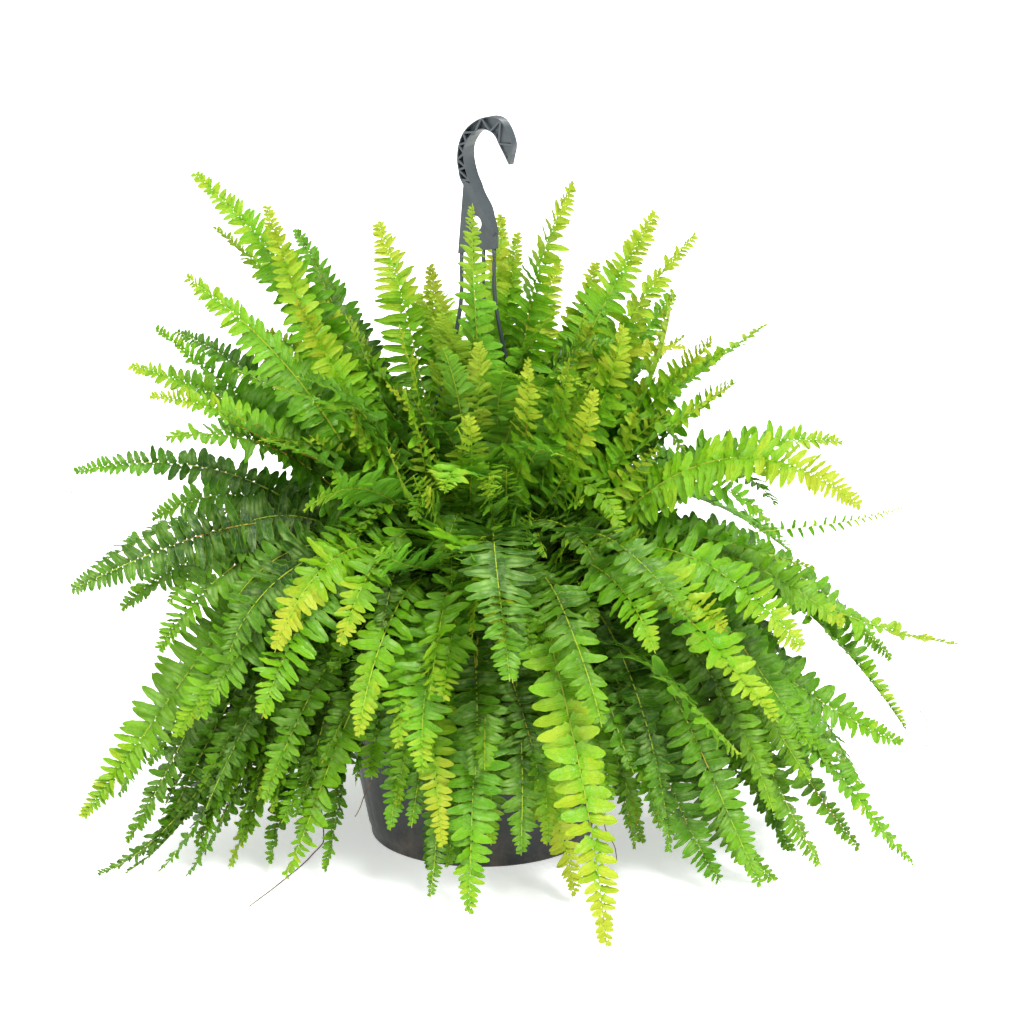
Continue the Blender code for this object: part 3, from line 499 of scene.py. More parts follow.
def make_frond(name, tier, ring, row, mat, template, seed):
    """One frond: a stalk with two rows of leaflets, as one mesh."""
    x, y, z, launch, droop, arch, root_turn, face, pinna_mm, spacing_mm, age = row
    tip = np.array([x, y, z]) * CM
    own = np.random.default_rng(seed)
    azimuth = math.atan2(tip[1], tip[0])
    line, length = frond_route(ring, tip, launch, droop, arch, math.radians(root_turn))
    tangent, side, normal = frond_frames(line, azimuth, face, own.normal(0.0, 0.45))
    wobble = np.sin(np.linspace(0, own.uniform(4, 9), len(line)) + own.uniform(0, 6))
    line = line + side * (wobble * STALK_WOBBLE * np.linspace(0, 1, len(line)))[:, None]
    line[:, 2] = np.maximum(line[:, 2], FLOOR_CLEAR)
    at = np.linspace(0.0, length, len(line))

    def along_route(values, spots):
        return np.stack([np.interp(spots, at, values[:, k]) for k in range(3)], axis=1)

    rows = [pinna_spots(length, spacing_mm * MM, first) for first in (0.0, 0.5)]
    spots = np.concatenate(rows)
    hand = np.concatenate([np.full(len(row), sign) for row, sign in zip(rows, (1.0, -1.0))])
    share = (spots / length - STALK_SHARE) / (1 - STALK_SHARE)
    count = len(spots)
    root = along_route(line, spots)
    t_dir = unit(along_route(tangent, spots))
    n_dir = unit(along_route(normal, spots))
    s_dir = np.cross(n_dir, t_dir) * hand[:, None]
    sweep = np.radians(5 + 30 * smoothstep(0.35, 1.0, share) + own.normal(0, 6, count))
    swing = np.sin(share * own.uniform(6, 16) + own.uniform(0, 6))
    lift = np.radians(own.normal(*LIFT, count) + own.normal(0, 12) + 9 * swing)
    out = s_dir * np.cos(sweep)[:, None] + t_dir * np.sin(sweep)[:, None]
    along_dir = out * np.cos(lift)[:, None] + n_dir * np.sin(lift)[:, None]
    up_dir = unit(n_dir * np.cos(lift)[:, None] - out * np.sin(lift)[:, None])
    across_dir = np.cross(up_dir, along_dir) * hand[:, None]
    roll = (own.normal(*ROLL, count) + 0.2 * swing)[:, None]
    across_dir, up_dir = (
        across_dir * np.cos(roll) - up_dir * np.sin(roll),
        up_dir * np.cos(roll) + across_dir * np.sin(roll),
    )
    long = pinna_mm * MM * length_profile(share) * own.normal(1.0, 0.075, count)
    # leaflets that stand well apart are narrower
    narrow = 1 - 0.35 * smoothstep(0.45, 0.6, spacing_mm / pinna_mm)
    half = PINNA_HALF * min(spacing_mm, 0.44 * pinna_mm) * narrow * MM
    half = half * pinna_pitch(share) * (0.84 + 0.16 * length_profile(share))
    half = np.minimum(half, 0.38 * long + 0.5 * MM)
    half = half * own.normal(1.0, 0.05, count)
    sag = own.normal(*SAG, count)
    hook = own.normal(*HOOKED, count)
    fold = own.normal(*FOLD, count)
    t = template.along[None, :, None]
    w = template.width[None, :, None]
    long, half, sag, hook, fold = (values[:, None, None] for values in (long, half, sag, hook, fold))
    centre = t * along_dir[:, None] + t * t * hook * across_dir[:, None] - t * t * sag * up_dir[:, None]
    height = fold * np.abs(w) * half - template.belly[None, :, None] * PINNA_THICKNESS
    wave = np.sin(2 * np.pi * (2.2 * t + own.uniform(0, 1, count)[:, None, None]))
    height = height + PINNA_WAVE * half * wave * w
    blades = root[:, None] + long * centre + w * half * across_dir[:, None] + height * up_dir[:, None]
    blades = blades.reshape(-1, 3)
    per = len(template.along)
    steps = (np.arange(count) * per)[:, None]
    flip = hand < 0
    corners = template.corners[None] + steps
    # a leaflet on the other side is mirrored, so its faces run the other way round
    corners[~flip] = corners[~flip][:, template.reverse]
    thinning = (1 - np.linspace(0.0, 1.0, len(line))) ** 1.3
    radius = STALK_TIP + (STALK_BASE - STALK_TIP) * thinning
    tube, tube_corners, tube_sizes = swept(line, side, normal, radius, RACHIS_SIDES)
    points = np.concatenate([blades, tube])
    points[:, 2] = np.maximum(points[:, 2], LEAF_CLEAR)
    all_corners = np.concatenate([corners.ravel(), tube_corners + len(blades)])
    all_sizes = np.concatenate([np.tile(template.sizes, count), tube_sizes])
    mesh = make_mesh(name, points, all_corners, all_sizes)
    mesh.set_sharp_from_angle(angle=math.radians(70))
    add_bake_map(mesh, template, flip, len(line))
    # towards the foot the tone darkens: partly the leaflets' own colour, partly painted shade inside the
    # plant
    tone = own.normal(0.0, 0.05, count) + own.normal(0.0, 0.07) + FOOT_DEEPER_AND_SHADED[tier] * (1 - share)
    leaf = np.zeros((len(points), 3))
    leaf[: len(blades), 0] = np.tile(template.along, count)
    leaf[: len(blades), 1] = np.tile(template.across, count)
    leaf[: len(blades), 2] = np.repeat(own.uniform(0, 1, count), per)
    leaf[len(blades):, 0] = np.repeat(np.linspace(0.0, 1.0, len(line)), RACHIS_SIDES)
    leaf[len(blades):, 2] = 0.5
    ages = np.full(len(points), age)
    ages[: len(blades)] = np.repeat(age + tone - 0.20 * smoothstep(0.6, 1.0, share), per)
    warmth = np.full(len(points), WARMTH[tier])
    warmth[: len(blades)] += np.repeat((TIP_WARMTH - WARMTH[tier]) * share**2 + own.normal(0.0, 0.12), per)
    add_values(mesh, "leaf", "FLOAT_VECTOR", "POINT", leaf)
    add_values(mesh, "age", "FLOAT", "POINT", ages)
    add_values(mesh, "warmth", "FLOAT", "POINT", warmth)
    add_values(mesh, "stalk", "FLOAT", "POINT", np.arange(len(points)) >= len(blades))
    under = np.concatenate([np.tile(template.under, count), np.zeros(len(tube_sizes))])
    add_values(mesh, "under", "FLOAT", "FACE", under)
    return link(bpy.data.objects.new(name, mesh), mat)


# ------ materials
class Nodes:
    """Short calls for building a node tree."""

    def __init__(self, name):
        self.material = bpy.data.materials.new(name)
        self.material.use_nodes = True
        self.tree = self.material.node_tree
        self.shader = self.tree.nodes["Principled BSDF"]
        self.output = self.tree.nodes["Material Output"]

    def add(self, kind, **settings):
        node = self.tree.nodes.new(kind)
        for key, value in settings.items():
            setattr(node, key, value)
        return node

    def join(self, source, target):
        self.tree.links.new(source, target)

    def feed(self, socket, value):
        if isinstance(value, bpy.types.NodeSocket):
            self.join(value, socket)
        else:
            socket.default_value = value

    def feed_base(self, colour, roughness):
        self.feed(self.shader.inputs["Base Color"], colour)
        self.feed(self.shader.inputs["Roughness"], roughness)

    def maths(self, operation, a, b=0.0):
        node = self.add("ShaderNodeMath", operation=operation)
        self.feed(node.inputs[0], a)
        self.feed(node.inputs[1], b)
        return node.outputs[0]

    def plus(self, a, b):
        return self.maths("ADD", a, b)

    def minus(self, a, b):
        return self.maths("SUBTRACT", a, b)

    def times(self, a, b):
        return self.maths("MULTIPLY", a, b)

    def away(self, value, centre):
        """How far the value is from the centre."""
        return self.maths("ABSOLUTE", self.minus(value, centre))

    def mix(self, factor, a, b, blend="MIX"):
        node = self.add("ShaderNodeMix", data_type="RGBA", blend_type=blend)
        self.feed(node.inputs[0], factor)
        self.feed(node.inputs[6], a)
        self.feed(node.inputs[7], b)
        return node.outputs[2]

    def attribute(self, name, output="Fac"):
        return self.add("ShaderNodeAttribute", attribute_name=name).outputs[output]

    def split(self, vector):
        node = self.add("ShaderNodeSeparateXYZ")
        self.join(vector, node.inputs[0])
        return node.outputs

    def position(self):
        return self.add("ShaderNodeTexCoord").outputs["Object"]

    def noise(self, scale, detail, roughness):
        node = self.add("ShaderNodeTexNoise")
        node.inputs["Scale"].default_value = scale
        node.inputs["Detail"].default_value = detail
        node.inputs["Roughness"].default_value = roughness
        self.join(self.position(), node.inputs["Vector"])
        return node.outputs["Fac"]

    def ramp(self, factor, stops):
        node = self.add("ShaderNodeValToRGB")
        elements = node.color_ramp.elements
        while len(elements) < len(stops):
            elements.new(0.5)
        for element, (place, colour) in zip(elements, stops):
            element.position = place
            element.color = (*colour, 1.0)
        self.feed(node.inputs[0], factor)
        return node.outputs[0]

    def span(self, value, low, high, to_low=0.0, to_high=1.0):
        node = self.add("ShaderNodeMapRange", clamp=True)
        self.feed(node.inputs[0], value)
        for socket, number in zip(node.inputs[1:5], (low, high, to_low, to_high)):
            socket.default_value = number
        return node.outputs[0]

    def bump(self, height, strength, distance):
        node = self.add("ShaderNodeBump")
        node.inputs["Strength"].default_value = strength
        node.inputs["Distance"].default_value = distance
        self.join(height, node.inputs["Height"])
        self.join(node.outputs[0], self.shader.inputs["Normal"])
        return node.outputs[0]


LIME = (0.42, 0.55, 0.026)
FRESH = (0.185, 0.46, 0.006)
MID = (0.102, 0.305, 0.005)
DEEP = (0.043, 0.145, 0.005)
DARKEST = (0.014, 0.064, 0.005)
COOL_TINT = (0.72, 1.08, 1.0, 1.0)
WARM_TINT = (1.12, 0.96, 1.0, 1.0)
GLOW_TINT = (1.15, 1.22, 0.42, 1.0)
TRANSLUCENCY = 0.33
VEIN_GREEN = (0.42, 0.62, 0.06, 1.0)
MARGIN_GREEN = (0.33, 0.47, 0.03, 1.0)
# the colour of the painted sheen highlight on the leaflets
SHEEN_HIGHLIGHT_GREEN = (0.36, 0.56, 0.15, 1.0)
UNDER_GREEN = (0.17, 0.42, 0.04, 1.0)
STEM_BROWN = (0.34, 0.17, 0.02, 1.0)
DUST_BROWN = (0.16, 0.12, 0.085, 1.0)


def leaf_material():
    n = Nodes("fern_leaf")
    along, across, chance = n.split(n.attribute("leaf", "Vector"))
    stalk = n.attribute("stalk")
    under = n.attribute("under")
    # the tone runs from lime at 0 to the darkest green at 1
    patches = n.times(n.minus(n.noise(28.0, 4.0, 0.6), 0.5), 0.38)
    tone = n.plus(n.attribute("age"), patches)
    tone = n.plus(tone, n.times(n.minus(chance, 0.5), 0.10))
    tone = n.plus(tone, n.times(n.minus(n.noise(420.0, 3.0, 0.6), 0.5), 0.30))
    tone = n.plus(tone, n.span(along, 0.0, 0.35, 0.16, 0.0))
    green = n.ramp(tone, [(0.0, LIME), (0.25, FRESH), (0.5, MID), (0.78, DEEP), (1.0, DARKEST)])
    tint = n.mix(n.span(n.attribute("warmth"), 0.0, 1.0), COOL_TINT, WARM_TINT)
    green = n.mix(1.0, green, tint, "MULTIPLY")
    # side veins slant from the midrib to the margin
    edge = n.maths("ABSOLUTE", across)
    slant = n.minus(n.times(along, 17.0), n.times(edge, 1.6))
    vein_line = n.span(n.maths("PINGPONG", slant, 0.5), 0.0, 0.16, 1.0, 0.0)
    midrib = n.span(edge, 0.03, 0.13, 1.0, 0.0)
    pale = n.mix(0.55, green, VEIN_GREEN)
    colour = n.mix(n.times(vein_line, 0.12), green, pale)
    colour = n.mix(n.times(midrib, 0.22), colour, pale)
    colour = n.mix(n.span(edge, 0.75, 1.0, 0.0, 0.38), colour, MARGIN_GREEN)
    # painted highlight: a whitish sheen painted on the middle of each half of the blade
    lengthwise = n.span(n.away(along, 0.45), 0.15, 0.45, 1.0, 0.0)
    crosswise = n.span(n.away(edge, 0.5), 0.15, 0.5, 1.0, 0.0)
    cloud = n.span(n.noise(85.0, 3.0, 0.5), 0.44, 0.62, 0.0, 0.50)
    # the painted highlight's mask: weaker on lime leaflets, none on the underside
    painted_sheen = n.times(n.times(lengthwise, crosswise), cloud)
    painted_sheen = n.times(painted_sheen, n.span(tone, 0.15, 0.5, 0.15, 1.0))
    painted_sheen = n.times(painted_sheen, n.minus(1.0, under))
    colour = n.mix(painted_sheen, colour, SHEEN_HIGHLIGHT_GREEN)
    colour = n.mix(n.times(under, 0.30), colour, UNDER_GREEN)
    stem = n.ramp(along, [(0.0, (0.10, 0.07, 0.015)), (0.2, (0.20, 0.24, 0.02)), (1.0, (0.33, 0.45, 0.02))])
    stem = n.mix(n.span(n.noise(9.0, 2.0, 0.5), 0.60, 0.70), stem, STEM_BROWN)
    colour = n.mix(stalk, colour, stem)
    rough = n.span(n.noise(60.0, 3.0, 0.5), 0.3, 0.7, 0.27, 0.42)
    n.feed_base(colour, n.plus(rough, n.times(under, 0.18)))
    n.shader.inputs["Specular IOR Level"].default_value = 0.30
    height = n.minus(n.times(n.noise(900.0, 2.0, 0.5), 0.2), n.times(vein_line, 0.5))
    height = n.minus(height, n.times(midrib, 0.8))
    height = n.plus(height, n.times(n.noise(230.0, 2.0, 0.5), 3.2))
    bumped = n.bump(height, 0.6, 0.0006)
    # light from behind shines through the blade
    glow = n.add("ShaderNodeBsdfTranslucent")
    n.join(n.mix(1.0, colour, GLOW_TINT, "MULTIPLY"), glow.inputs["Color"])
    n.join(bumped, glow.inputs["Normal"])
    blend = n.add("ShaderNodeMixShader")
    n.join(n.times(n.minus(1.0, stalk), TRANSLUCENCY), blend.inputs[0])
    n.join(n.shader.outputs[0], blend.inputs[1])
    n.join(glow.outputs[0], blend.inputs[2])
    n.join(blend.outputs[0], n.output.inputs["Surface"])
    return n.material


def plastic_material(name, colour, dust, roughness):
    n = Nodes(name)
    cloud = n.span(n.noise(14.0, 5.0, 0.6), 0.35, 0.7, 0.0, 0.35)
    base = n.mix(cloud, (*colour, 1.0), (*(1.6 * c for c in colour), 1.0))
    low = n.span(n.split(n.position())[2], 0.0, 0.05, 1.0, 0.0)
    dirt = n.times(low, n.span(n.noise(40.0, 5.0, 0.7), 0.45, 0.7))
    base = n.mix(n.times(dirt, dust), base, DUST_BROWN)
    wear = n.noise(55.0, 4.0, 0.6)
    n.feed_base(base, n.span(wear, 0.3, 0.7, roughness - 0.07, roughness + 0.10))
    n.bump(n.noise(1400.0, 2.0, 0.5), 0.12, 0.0004)
    return n.material


def grainy_material(name, grain, stops, roughness, strength, depth, relief=None):
    """A rough material coloured by one noise, whose bump may come from another."""
    n = Nodes(name)
    pattern = n.noise(*grain)
    n.feed_base(n.ramp(pattern, stops), roughness)
    n.bump(n.noise(*relief) if relief else pattern, strength, depth)
    return n.material


SOIL = [(0.30, (0.010, 0.007, 0.005)), (0.52, (0.035, 0.022, 0.013)), (0.75, (0.10, 0.065, 0.035))]
CROWN = [(0.3, (0.03, 0.015, 0.007)), (0.55, (0.11, 0.06, 0.025)), (0.8, (0.24, 0.16, 0.07))]
WIRY = [(0.3, (0.07, 0.035, 0.015)), (0.7, (0.22, 0.15, 0.07))]
SCALY = [(0.38, (0.16, 0.09, 0.03)), (0.50, (0.14, 0.26, 0.02)), (0.75, (0.34, 0.50, 0.08))]


def floor_material():
    n = Nodes("pale_floor")
    n.feed_base(n.ramp(n.noise(0.6, 3.0, 0.5), [(0.2, (0.86, 0.86, 0.86)), (0.8, (0.90, 0.90, 0.90))]), 0.9)
    n.shader.inputs["Emission Color"].default_value = (1.0, 1.0, 1.0, 1.0)
    n.shader.inputs["Emission Strength"].default_value = 0.5
    n.shader.inputs["Specular IOR Level"].default_value = 0.1
    return n.material


# ------ pot, soil, crown
def lathe(name, profile, segments, flutes=None):
    """A closed turned solid. Each profile row is (radius, height, flute depth) down the outer side."""
    rows = np.array(profile)
    k = np.arange(segments)
    turn = 2 * np.pi * k / segments
    wave = flutes(turn) if flutes else np.zeros(segments)
    inner = rows[rows[:, 0] > 0]
    radius = inner[:, 0][:, None] - inner[:, 2][:, None] * wave[None]
    heights = np.repeat(inner[:, 1][:, None], segments, 1)
    points = np.stack([radius * np.cos(turn), radius * np.sin(turn), heights], axis=-1).reshape(-1, 3)
    top = np.full(segments, len(points))
    points = np.concatenate([points, [(0, 0, rows[0, 1])], [(0, 0, rows[-1, 1])]])
    after = (k + 1) % segments
    low = segments * np.arange(len(inner) - 1)[:, None]
    quads = np.stack([low + k, low + segments + k, low + segments + after, low + after], axis=-1)
    last = segments * (len(inner) - 1)
    fans = np.stack([top, k, after, top + 1, last + after, last + k], axis=-1)
    sizes = np.array([4] * (quads.size // 4) + [3] * (2 * segments))
    return make_mesh(name, points, np.concatenate([quads.ravel(), fans.ravel()]), sizes)


def pot_radius(height):
    return POT_BASE_RADIUS + (POT_TOP_RADIUS - POT_BASE_RADIUS) * height / POT_HEIGHT


def arc_rows(centre, radius, start, end, steps):
    turns = np.radians(np.linspace(start, end, steps + 1))
    return [(centre[0] + radius * math.cos(a), centre[1] + radius * math.sin(a), 0.0) for a in turns]


def wall_rows(heights, inset):
    """Profile rows up or down the pot's wall, with flutes that fade out at the foot and under the lip."""
    rows = []
    for height in heights:
        under_lip = smoothstep(POT_HEIGHT - 0.045, POT_HEIGHT - 0.025, height)
        fade = smoothstep(0.012, 0.03, height) * (1 - under_lip)
        rows.append((pot_radius(height) - inset, height, FLUTE_DEPTH * fade))
    return rows


def make_pot(mat):
    """A thin moulded wall with soft flutes, a rolled lip, a bead and a foot."""
    lip = 1.8 * MM
    low = POT_HEIGHT - LIP_DEPTH
    rows = [
        (0.0, POT_WALL, 0.0),
        (0.55 * POT_BASE_RADIUS, POT_WALL, 0.0),
        (POT_BASE_RADIUS - 3.2 * POT_WALL, POT_WALL, 0.0),
        (POT_BASE_RADIUS - 1.6 * POT_WALL, 2 * POT_WALL, 0.0),
        *wall_rows(np.linspace(0.012, POT_HEIGHT - 0.02, 10), POT_WALL),
        *arc_rows((POT_TOP_RADIUS - POT_WALL + lip, POT_HEIGHT - lip), lip, 180, 90, 5),
        *arc_rows((LIP_RADIUS - lip, POT_HEIGHT - lip), lip, 90, 0, 5),
        (LIP_RADIUS - 0.4 * MM, low + 3 * MM, 0.0),
        *arc_rows((LIP_RADIUS - 1.2 * MM, low + 0.8 * MM), 0.8 * MM, 0, -90, 4),
        (pot_radius(low) + 1.0 * MM, low, 0.0),
        (pot_radius(low), low - 1.0 * MM, 0.0),
        *wall_rows(np.linspace(POT_HEIGHT - 0.02, 0.012, 14), 0.0),
        (POT_BASE_RADIUS + 0.8 * MM, 8 * MM, 0.0),
        (POT_BASE_RADIUS, 4 * MM, 0.0),
        *arc_rows((POT_BASE_RADIUS - 2.2 * MM, 2.2 * MM), 2.2 * MM, 0, -90, 5),
        (0.55 * POT_BASE_RADIUS, 0.0, 0.0),
        (0.0, 0.0, 0.0),
    ]
    mesh = lathe("pot_fluted", rows, 240, lambda turn: 0.5 - 0.5 * np.abs(np.cos(12 * turn)) ** 0.6)
    mesh.set_sharp_from_angle(angle=math.radians(50))
    pot = link(bpy.data.objects.new("pot_fluted", mesh), mat)
    cutter = bmesh.new()
    for index in range(DRAIN_HOLES):
        place = direction(2 * math.pi * (index + 0.5) / DRAIN_HOLES, 0.0) * DRAIN_CIRCLE
        bmesh.ops.create_cone(
            cutter,
            cap_ends=True,
            segments=24,
            radius1=DRAIN_RADIUS,
            radius2=DRAIN_RADIUS,
            depth=15 * MM,
            matrix=Matrix.Translation(place),
        )
    apply_boolean(pot, mesh_object("drain_cutter", cutter), "DIFFERENCE")
    return pot


def mesh_object(name, bm):
    bmesh.ops.recalc_face_normals(bm, faces=bm.faces)
    mesh = bpy.data.meshes.new(name)
    bm.to_mesh(mesh)
    bm.free()
    return link(bpy.data.objects.new(name, mesh))


def apply_modifiers(obj):
    """Replaces the object's mesh with what its modifiers make of it."""
    graph = bpy.context.evaluated_depsgraph_get()
    made = bpy.data.meshes.new_from_object(obj.evaluated_get(graph))
    obj.modifiers.clear()
    obj.data = made


def apply_boolean(obj, other, operation):
    boolean = obj.modifiers.new("Cut", "BOOLEAN")
    boolean.operation = operation
    boolean.solver = "EXACT"
    boolean.object = other
    apply_modifiers(obj)
    bpy.data.objects.remove(other, do_unlink=True)


def value_noise(points, scale, seed):
    """Smooth noise in -1 to 1 from a few seeded waves."""
    own = np.random.default_rng(seed)
    total = np.zeros(len(points))
    for octave in range(4):
        wave = unit(own.normal(size=(5, 3))) * scale * 1.9**octave
        phase = own.uniform(0, 2 * np.pi, 5)
        total += np.sin(points @ wave.T + phase).sum(axis=1) / 1.8**octave
    return total / 6


def heap(name, rows, segments, low, relief, mat):
    """A turned solid whose surface above a height is raised by a noise."""
    mesh = lathe(name, rows, segments)
    points = np.empty(len(mesh.vertices) * 3, np.float32)
    mesh.vertices.foreach_get("co", points)
    points = points.reshape(-1, 3).astype(float)
    upper = points[:, 2] > low + 1 * MM
    points[upper, 2] += relief(points)[upper]
    mesh.vertices.foreach_set("co", points.astype(np.float32).ravel())
    mesh.update()
    return link(bpy.data.objects.new(name, mesh), mat)


def make_soil(mat):
    """The potting mix: a rough crumbly top over the pot's filling."""
    top = SOIL_TOP - 5 * MM
    radius = pot_radius(top) - POT_WALL - 0.6 * MM
    low_radius = POT_BASE_RADIUS - 4 * POT_WALL
    rows = [
        (0.0, top, 0.0),
        *((share * radius, top, 0.0) for share in np.linspace(0.03, 0.985, 44)),
        (radius, top - 3 * MM, 0.0),
        (low_radius, 8 * MM, 0.0),
        (low_radius - 3 * MM, 3.2 * MM, 0.0),
        (0.0, 3.2 * MM, 0.0),
    ]

    def crumbs(points):
        return value_noise(points, 160, 3) * 1.8 * MM + np.abs(value_noise(points, 620, 4)) * 1.6 * MM

    return heap("potting_mix_surface", rows, 150, top - 2 * MM, crumbs, mat)


def make_crown(mat):
    """The crown: a low lumpy mat of rhizomes."""
    low = CROWN_LOW[2] - 3 * MM
    radius = CROWN_HIGH[0] - 3 * MM
    height = CROWN_HIGH[2] - low - 3 * MM
    dome = [(math.sin(a), math.cos(a) ** 0.6) for a in np.linspace(0.05, 1.5, 30)]
    rows = [(0.0, low + height, 0.0)]
    rows += [(radius * across, low + height * up, 0.0) for across, up in dome]
    rows += [(radius - 2 * MM, low, 0.0), (0.0, low, 0.0)]
    return heap("crown_mat", rows, 110, low, lambda points: value_noise(points, 200, 5) * 2.2 * MM, mat)


# ------ hanger
HOOK_TURN = math.radians(-40)
HOOK_DEPTH = 13 * MM
HOOK_WEB = 3 * MM
HOOK_CORE = 3.4 * MM  # the wall left between the front and back recesses
HOOK_RIB = 0.8  # half a rib's width in mm
# Left edge (across, up), right edge (across, up) and depth in mm, from the foot round to the beak.
HOOK_STATIONS = (
    (15, 503.5, 17.4, 507, 4),
    (8.2, 512, 12, 518, 8),
    (2.5, 520.5, 7, 526, 13),
    (-7, 535.5, -0.5, 536.5, 13),
    (-15.6, 546.5, -3.6, 543, 13),
    (-17.8, 554, -8.2, 551.5, 13),
    (-19.2, 562, -11.6, 563, 13),
    (-17.8, 574, -11.4, 573, 13),
    (-13, 584.5, -7.2, 580.5, 12.4),
    (-5, 592.5, -1, 586.2, 11.4),
    (5, 598, 6, 589, 10.2),
    (15, 600, 13.5, 588, 9),
    (24, 598, 18.5, 584.5, 8),
    (31, 590, 21.5, 579, 7),
    (35.5, 579.5, 26, 572, 6),
    (33.8, 570, 30, 565.5, 5.4),
    (32.4, 563.4, 31.2, 563.4, 5),
)
SPAN_STEPS = 4  # steps of the smoothed line from one station to the next
# the steps of the smoothed line at which the zigzag ribs meet the band's edges
RIB_STOPS = (16, 18, 20, 22, 24, 26, 28, 30, 32, 36, 40, 44, 48, 52, 56, 60)
# the plate's outline, across and up in mm
PLATE_EDGE = (
    (-16.2, 549), (-22.8, 485), (17.4, 494), (17.4, 506), (8, 517), (-5, 537), (-10, 545),
)
PLATE_SLOPE = 9 / 40.2  # of the plate's lower edge
WINDOW_CENTRE = np.array([-4, 512])
WINDOW_RADIUS = 6


def smooth_route(points, per_span):
    """A Catmull-Rom line through the points."""
    points = np.array(points, float)
    padded = np.concatenate([[2 * points[0] - points[1]], points, [2 * points[-1] - points[-2]]])
    line = []
    for a, b, c, d in zip(padded, padded[1:], padded[2:], padded[3:]):
        for i in range(per_span):
            t = i / per_span
            bend = (2 * a - 5 * b + 4 * c - d) * t * t
            line.append(0.5 * (2 * b + (c - a) * t + bend + (3 * b - a - 3 * c + d) * t**3))
    return np.array(line + [points[-1]])


def prism(outline, half_depth, at=0.0, bm=None):
    """A flat body whose outline is given across and up in mm, added to bm if there is one."""
    bm = bm or bmesh.new()
    front = [bm.verts.new((x * MM, at - half_depth, z * MM)) for x, z in outline]
    back = [bm.verts.new((x * MM, at + half_depth, z * MM)) for x, z in outline]
    bm.faces.new(front)
    bm.faces.new(list(reversed(back)))
    count = len(outline)
    for i in range(count):
        j = (i + 1) % count
        bm.faces.new((front[i], back[i], back[j], front[j]))
    return bm


def tapered_band(stations):
    """A closed band through the stations, each with its own width and depth."""
    bm = bmesh.new()
    rings = []
    for left_x, left_z, right_x, right_z, depth in stations:
        across = ((left_x, left_z, -1), (right_x, right_z, -1), (right_x, right_z, 1), (left_x, left_z, 1))
        rings.append([bm.verts.new((x * MM, y * depth / 2 * MM, z * MM)) for x, z, y in across])
    bm.faces.new(rings[0])
    bm.faces.new(list(reversed(rings[-1])))
    for below, above in zip(rings, rings[1:]):
        for i in range(4):
            j = (i + 1) % 4
            bm.faces.new((below[i], above[i], above[j], below[j]))
    bmesh.ops.recalc_face_normals(bm, faces=bm.faces)
    return bm


def shrunk(corners, margin):
    """The polygon with each side moved in by margin."""
    corners = [Vector(corner) for corner in corners]
    following = corners[1:] + corners[:1]
    area = sum(here.cross(after) for here, after in zip(corners, following))
    normals = []
    for here, after in zip(corners, following):
        along = (after - here).normalized()
        normals.append(Vector((-along.y, along.x)) * math.copysign(1.0, area))
    inset = []
    for i, here in enumerate(corners):
        spread = 1 + normals[i - 1].dot(normals[i])
        inset.append(tuple(here + (normals[i - 1] + normals[i]) * (margin / spread)))
    return inset


def make_hook(mat):
    """The moulded hook: a band with zigzag ribs over a thin plate with a round window."""
    line = smooth_route(HOOK_STATIONS, SPAN_STEPS)
    left, right = line[:, 0:2], line[:, 2:4]
    hook = mesh_object("hook_moulding", tapered_band(line))
    apply_boolean(hook, mesh_object("plate_web", prism(PLATE_EDGE, HOOK_WEB / 2)), "UNION")
    depth = (HOOK_DEPTH - HOOK_CORE) / 2
    for side in (-1, 1):
        bm = bmesh.new()
        for i, stop in enumerate(RIB_STOPS[:-1]):
            apex, base = (left, right) if i % 2 == 0 else (right, left)
            first, last = RIB_STOPS[max(i - 1, 0)], RIB_STOPS[i + 1]
            # the points next to the corners are left out, as moving in would carry the corners past them
            edge = [base[first], *base[first + 2 : last - 1], base[last]]
            recess = shrunk([tuple(point) for point in (apex[stop], *edge)], HOOK_RIB)
            prism(recess, depth / 2 + MM, side * (HOOK_DEPTH / 2 + MM - depth / 2), bm)
        apply_boolean(hook, mesh_object("recess_cutter", bm), "DIFFERENCE")
    turns = np.linspace(0, 2 * np.pi, 33)[:-1]
    window = [tuple(WINDOW_CENTRE + WINDOW_RADIUS * direction(a, 0.0)[:2]) for a in turns]
    apply_boolean(hook, mesh_object("window_cutter", prism(window, HOOK_DEPTH)), "DIFFERENCE")
    bevel = hook.modifiers.new("Soft edges", "BEVEL")
    bevel.width = 0.35 * MM
    bevel.segments = 2
    bevel.limit_method = "ANGLE"
    bevel.angle_limit = math.radians(40)
    apply_modifiers(hook)
    hook.data.transform(Matrix.Rotation(HOOK_TURN, 4, "Z"))
    hook.data.shade_smooth()
    hook.data.set_sharp_from_angle(angle=math.radians(35))
    hook.data.materials.append(mat)
    return hook


def tube_object(name, route, radius, mat, sides=8, taper=((0, 1), (1, 1))):
    """A round rod along a route, closed at both ends."""
    line = np.array(route, float)
    tangent = unit(np.gradient(line, axis=0))
    side = unit(np.cross(tangent, UP + 0.01))
    normal = np.cross(side, tangent)
    size = np.interp(np.linspace(0, 1, len(line)), *taper) * radius
    mesh = make_mesh(name, *swept(line, side, normal, size, sides))
    bm = bmesh.new()
    bm.from_mesh(mesh)
    bmesh.ops.recalc_face_normals(bm, faces=bm.faces)
    bm.to_mesh(mesh)
    bm.free()
    return link(bpy.data.objects.new(name, mesh), mat)


STRAND_RADIUS = 1.7 * MM
STRAND_CLEAR = 2.1 * MM  # from the pot's lip to the middle of a leg
# each leg's node, where its top is along the plate in mm, and its azimuth in degrees
STRANDS = (
    ("hanger_strand_left", -20, 179.7),
    ("hanger_strand_back", -9, 109),
    ("hanger_strand_front", 3, 295),
    ("hanger_strand_right", 14, 20),
)


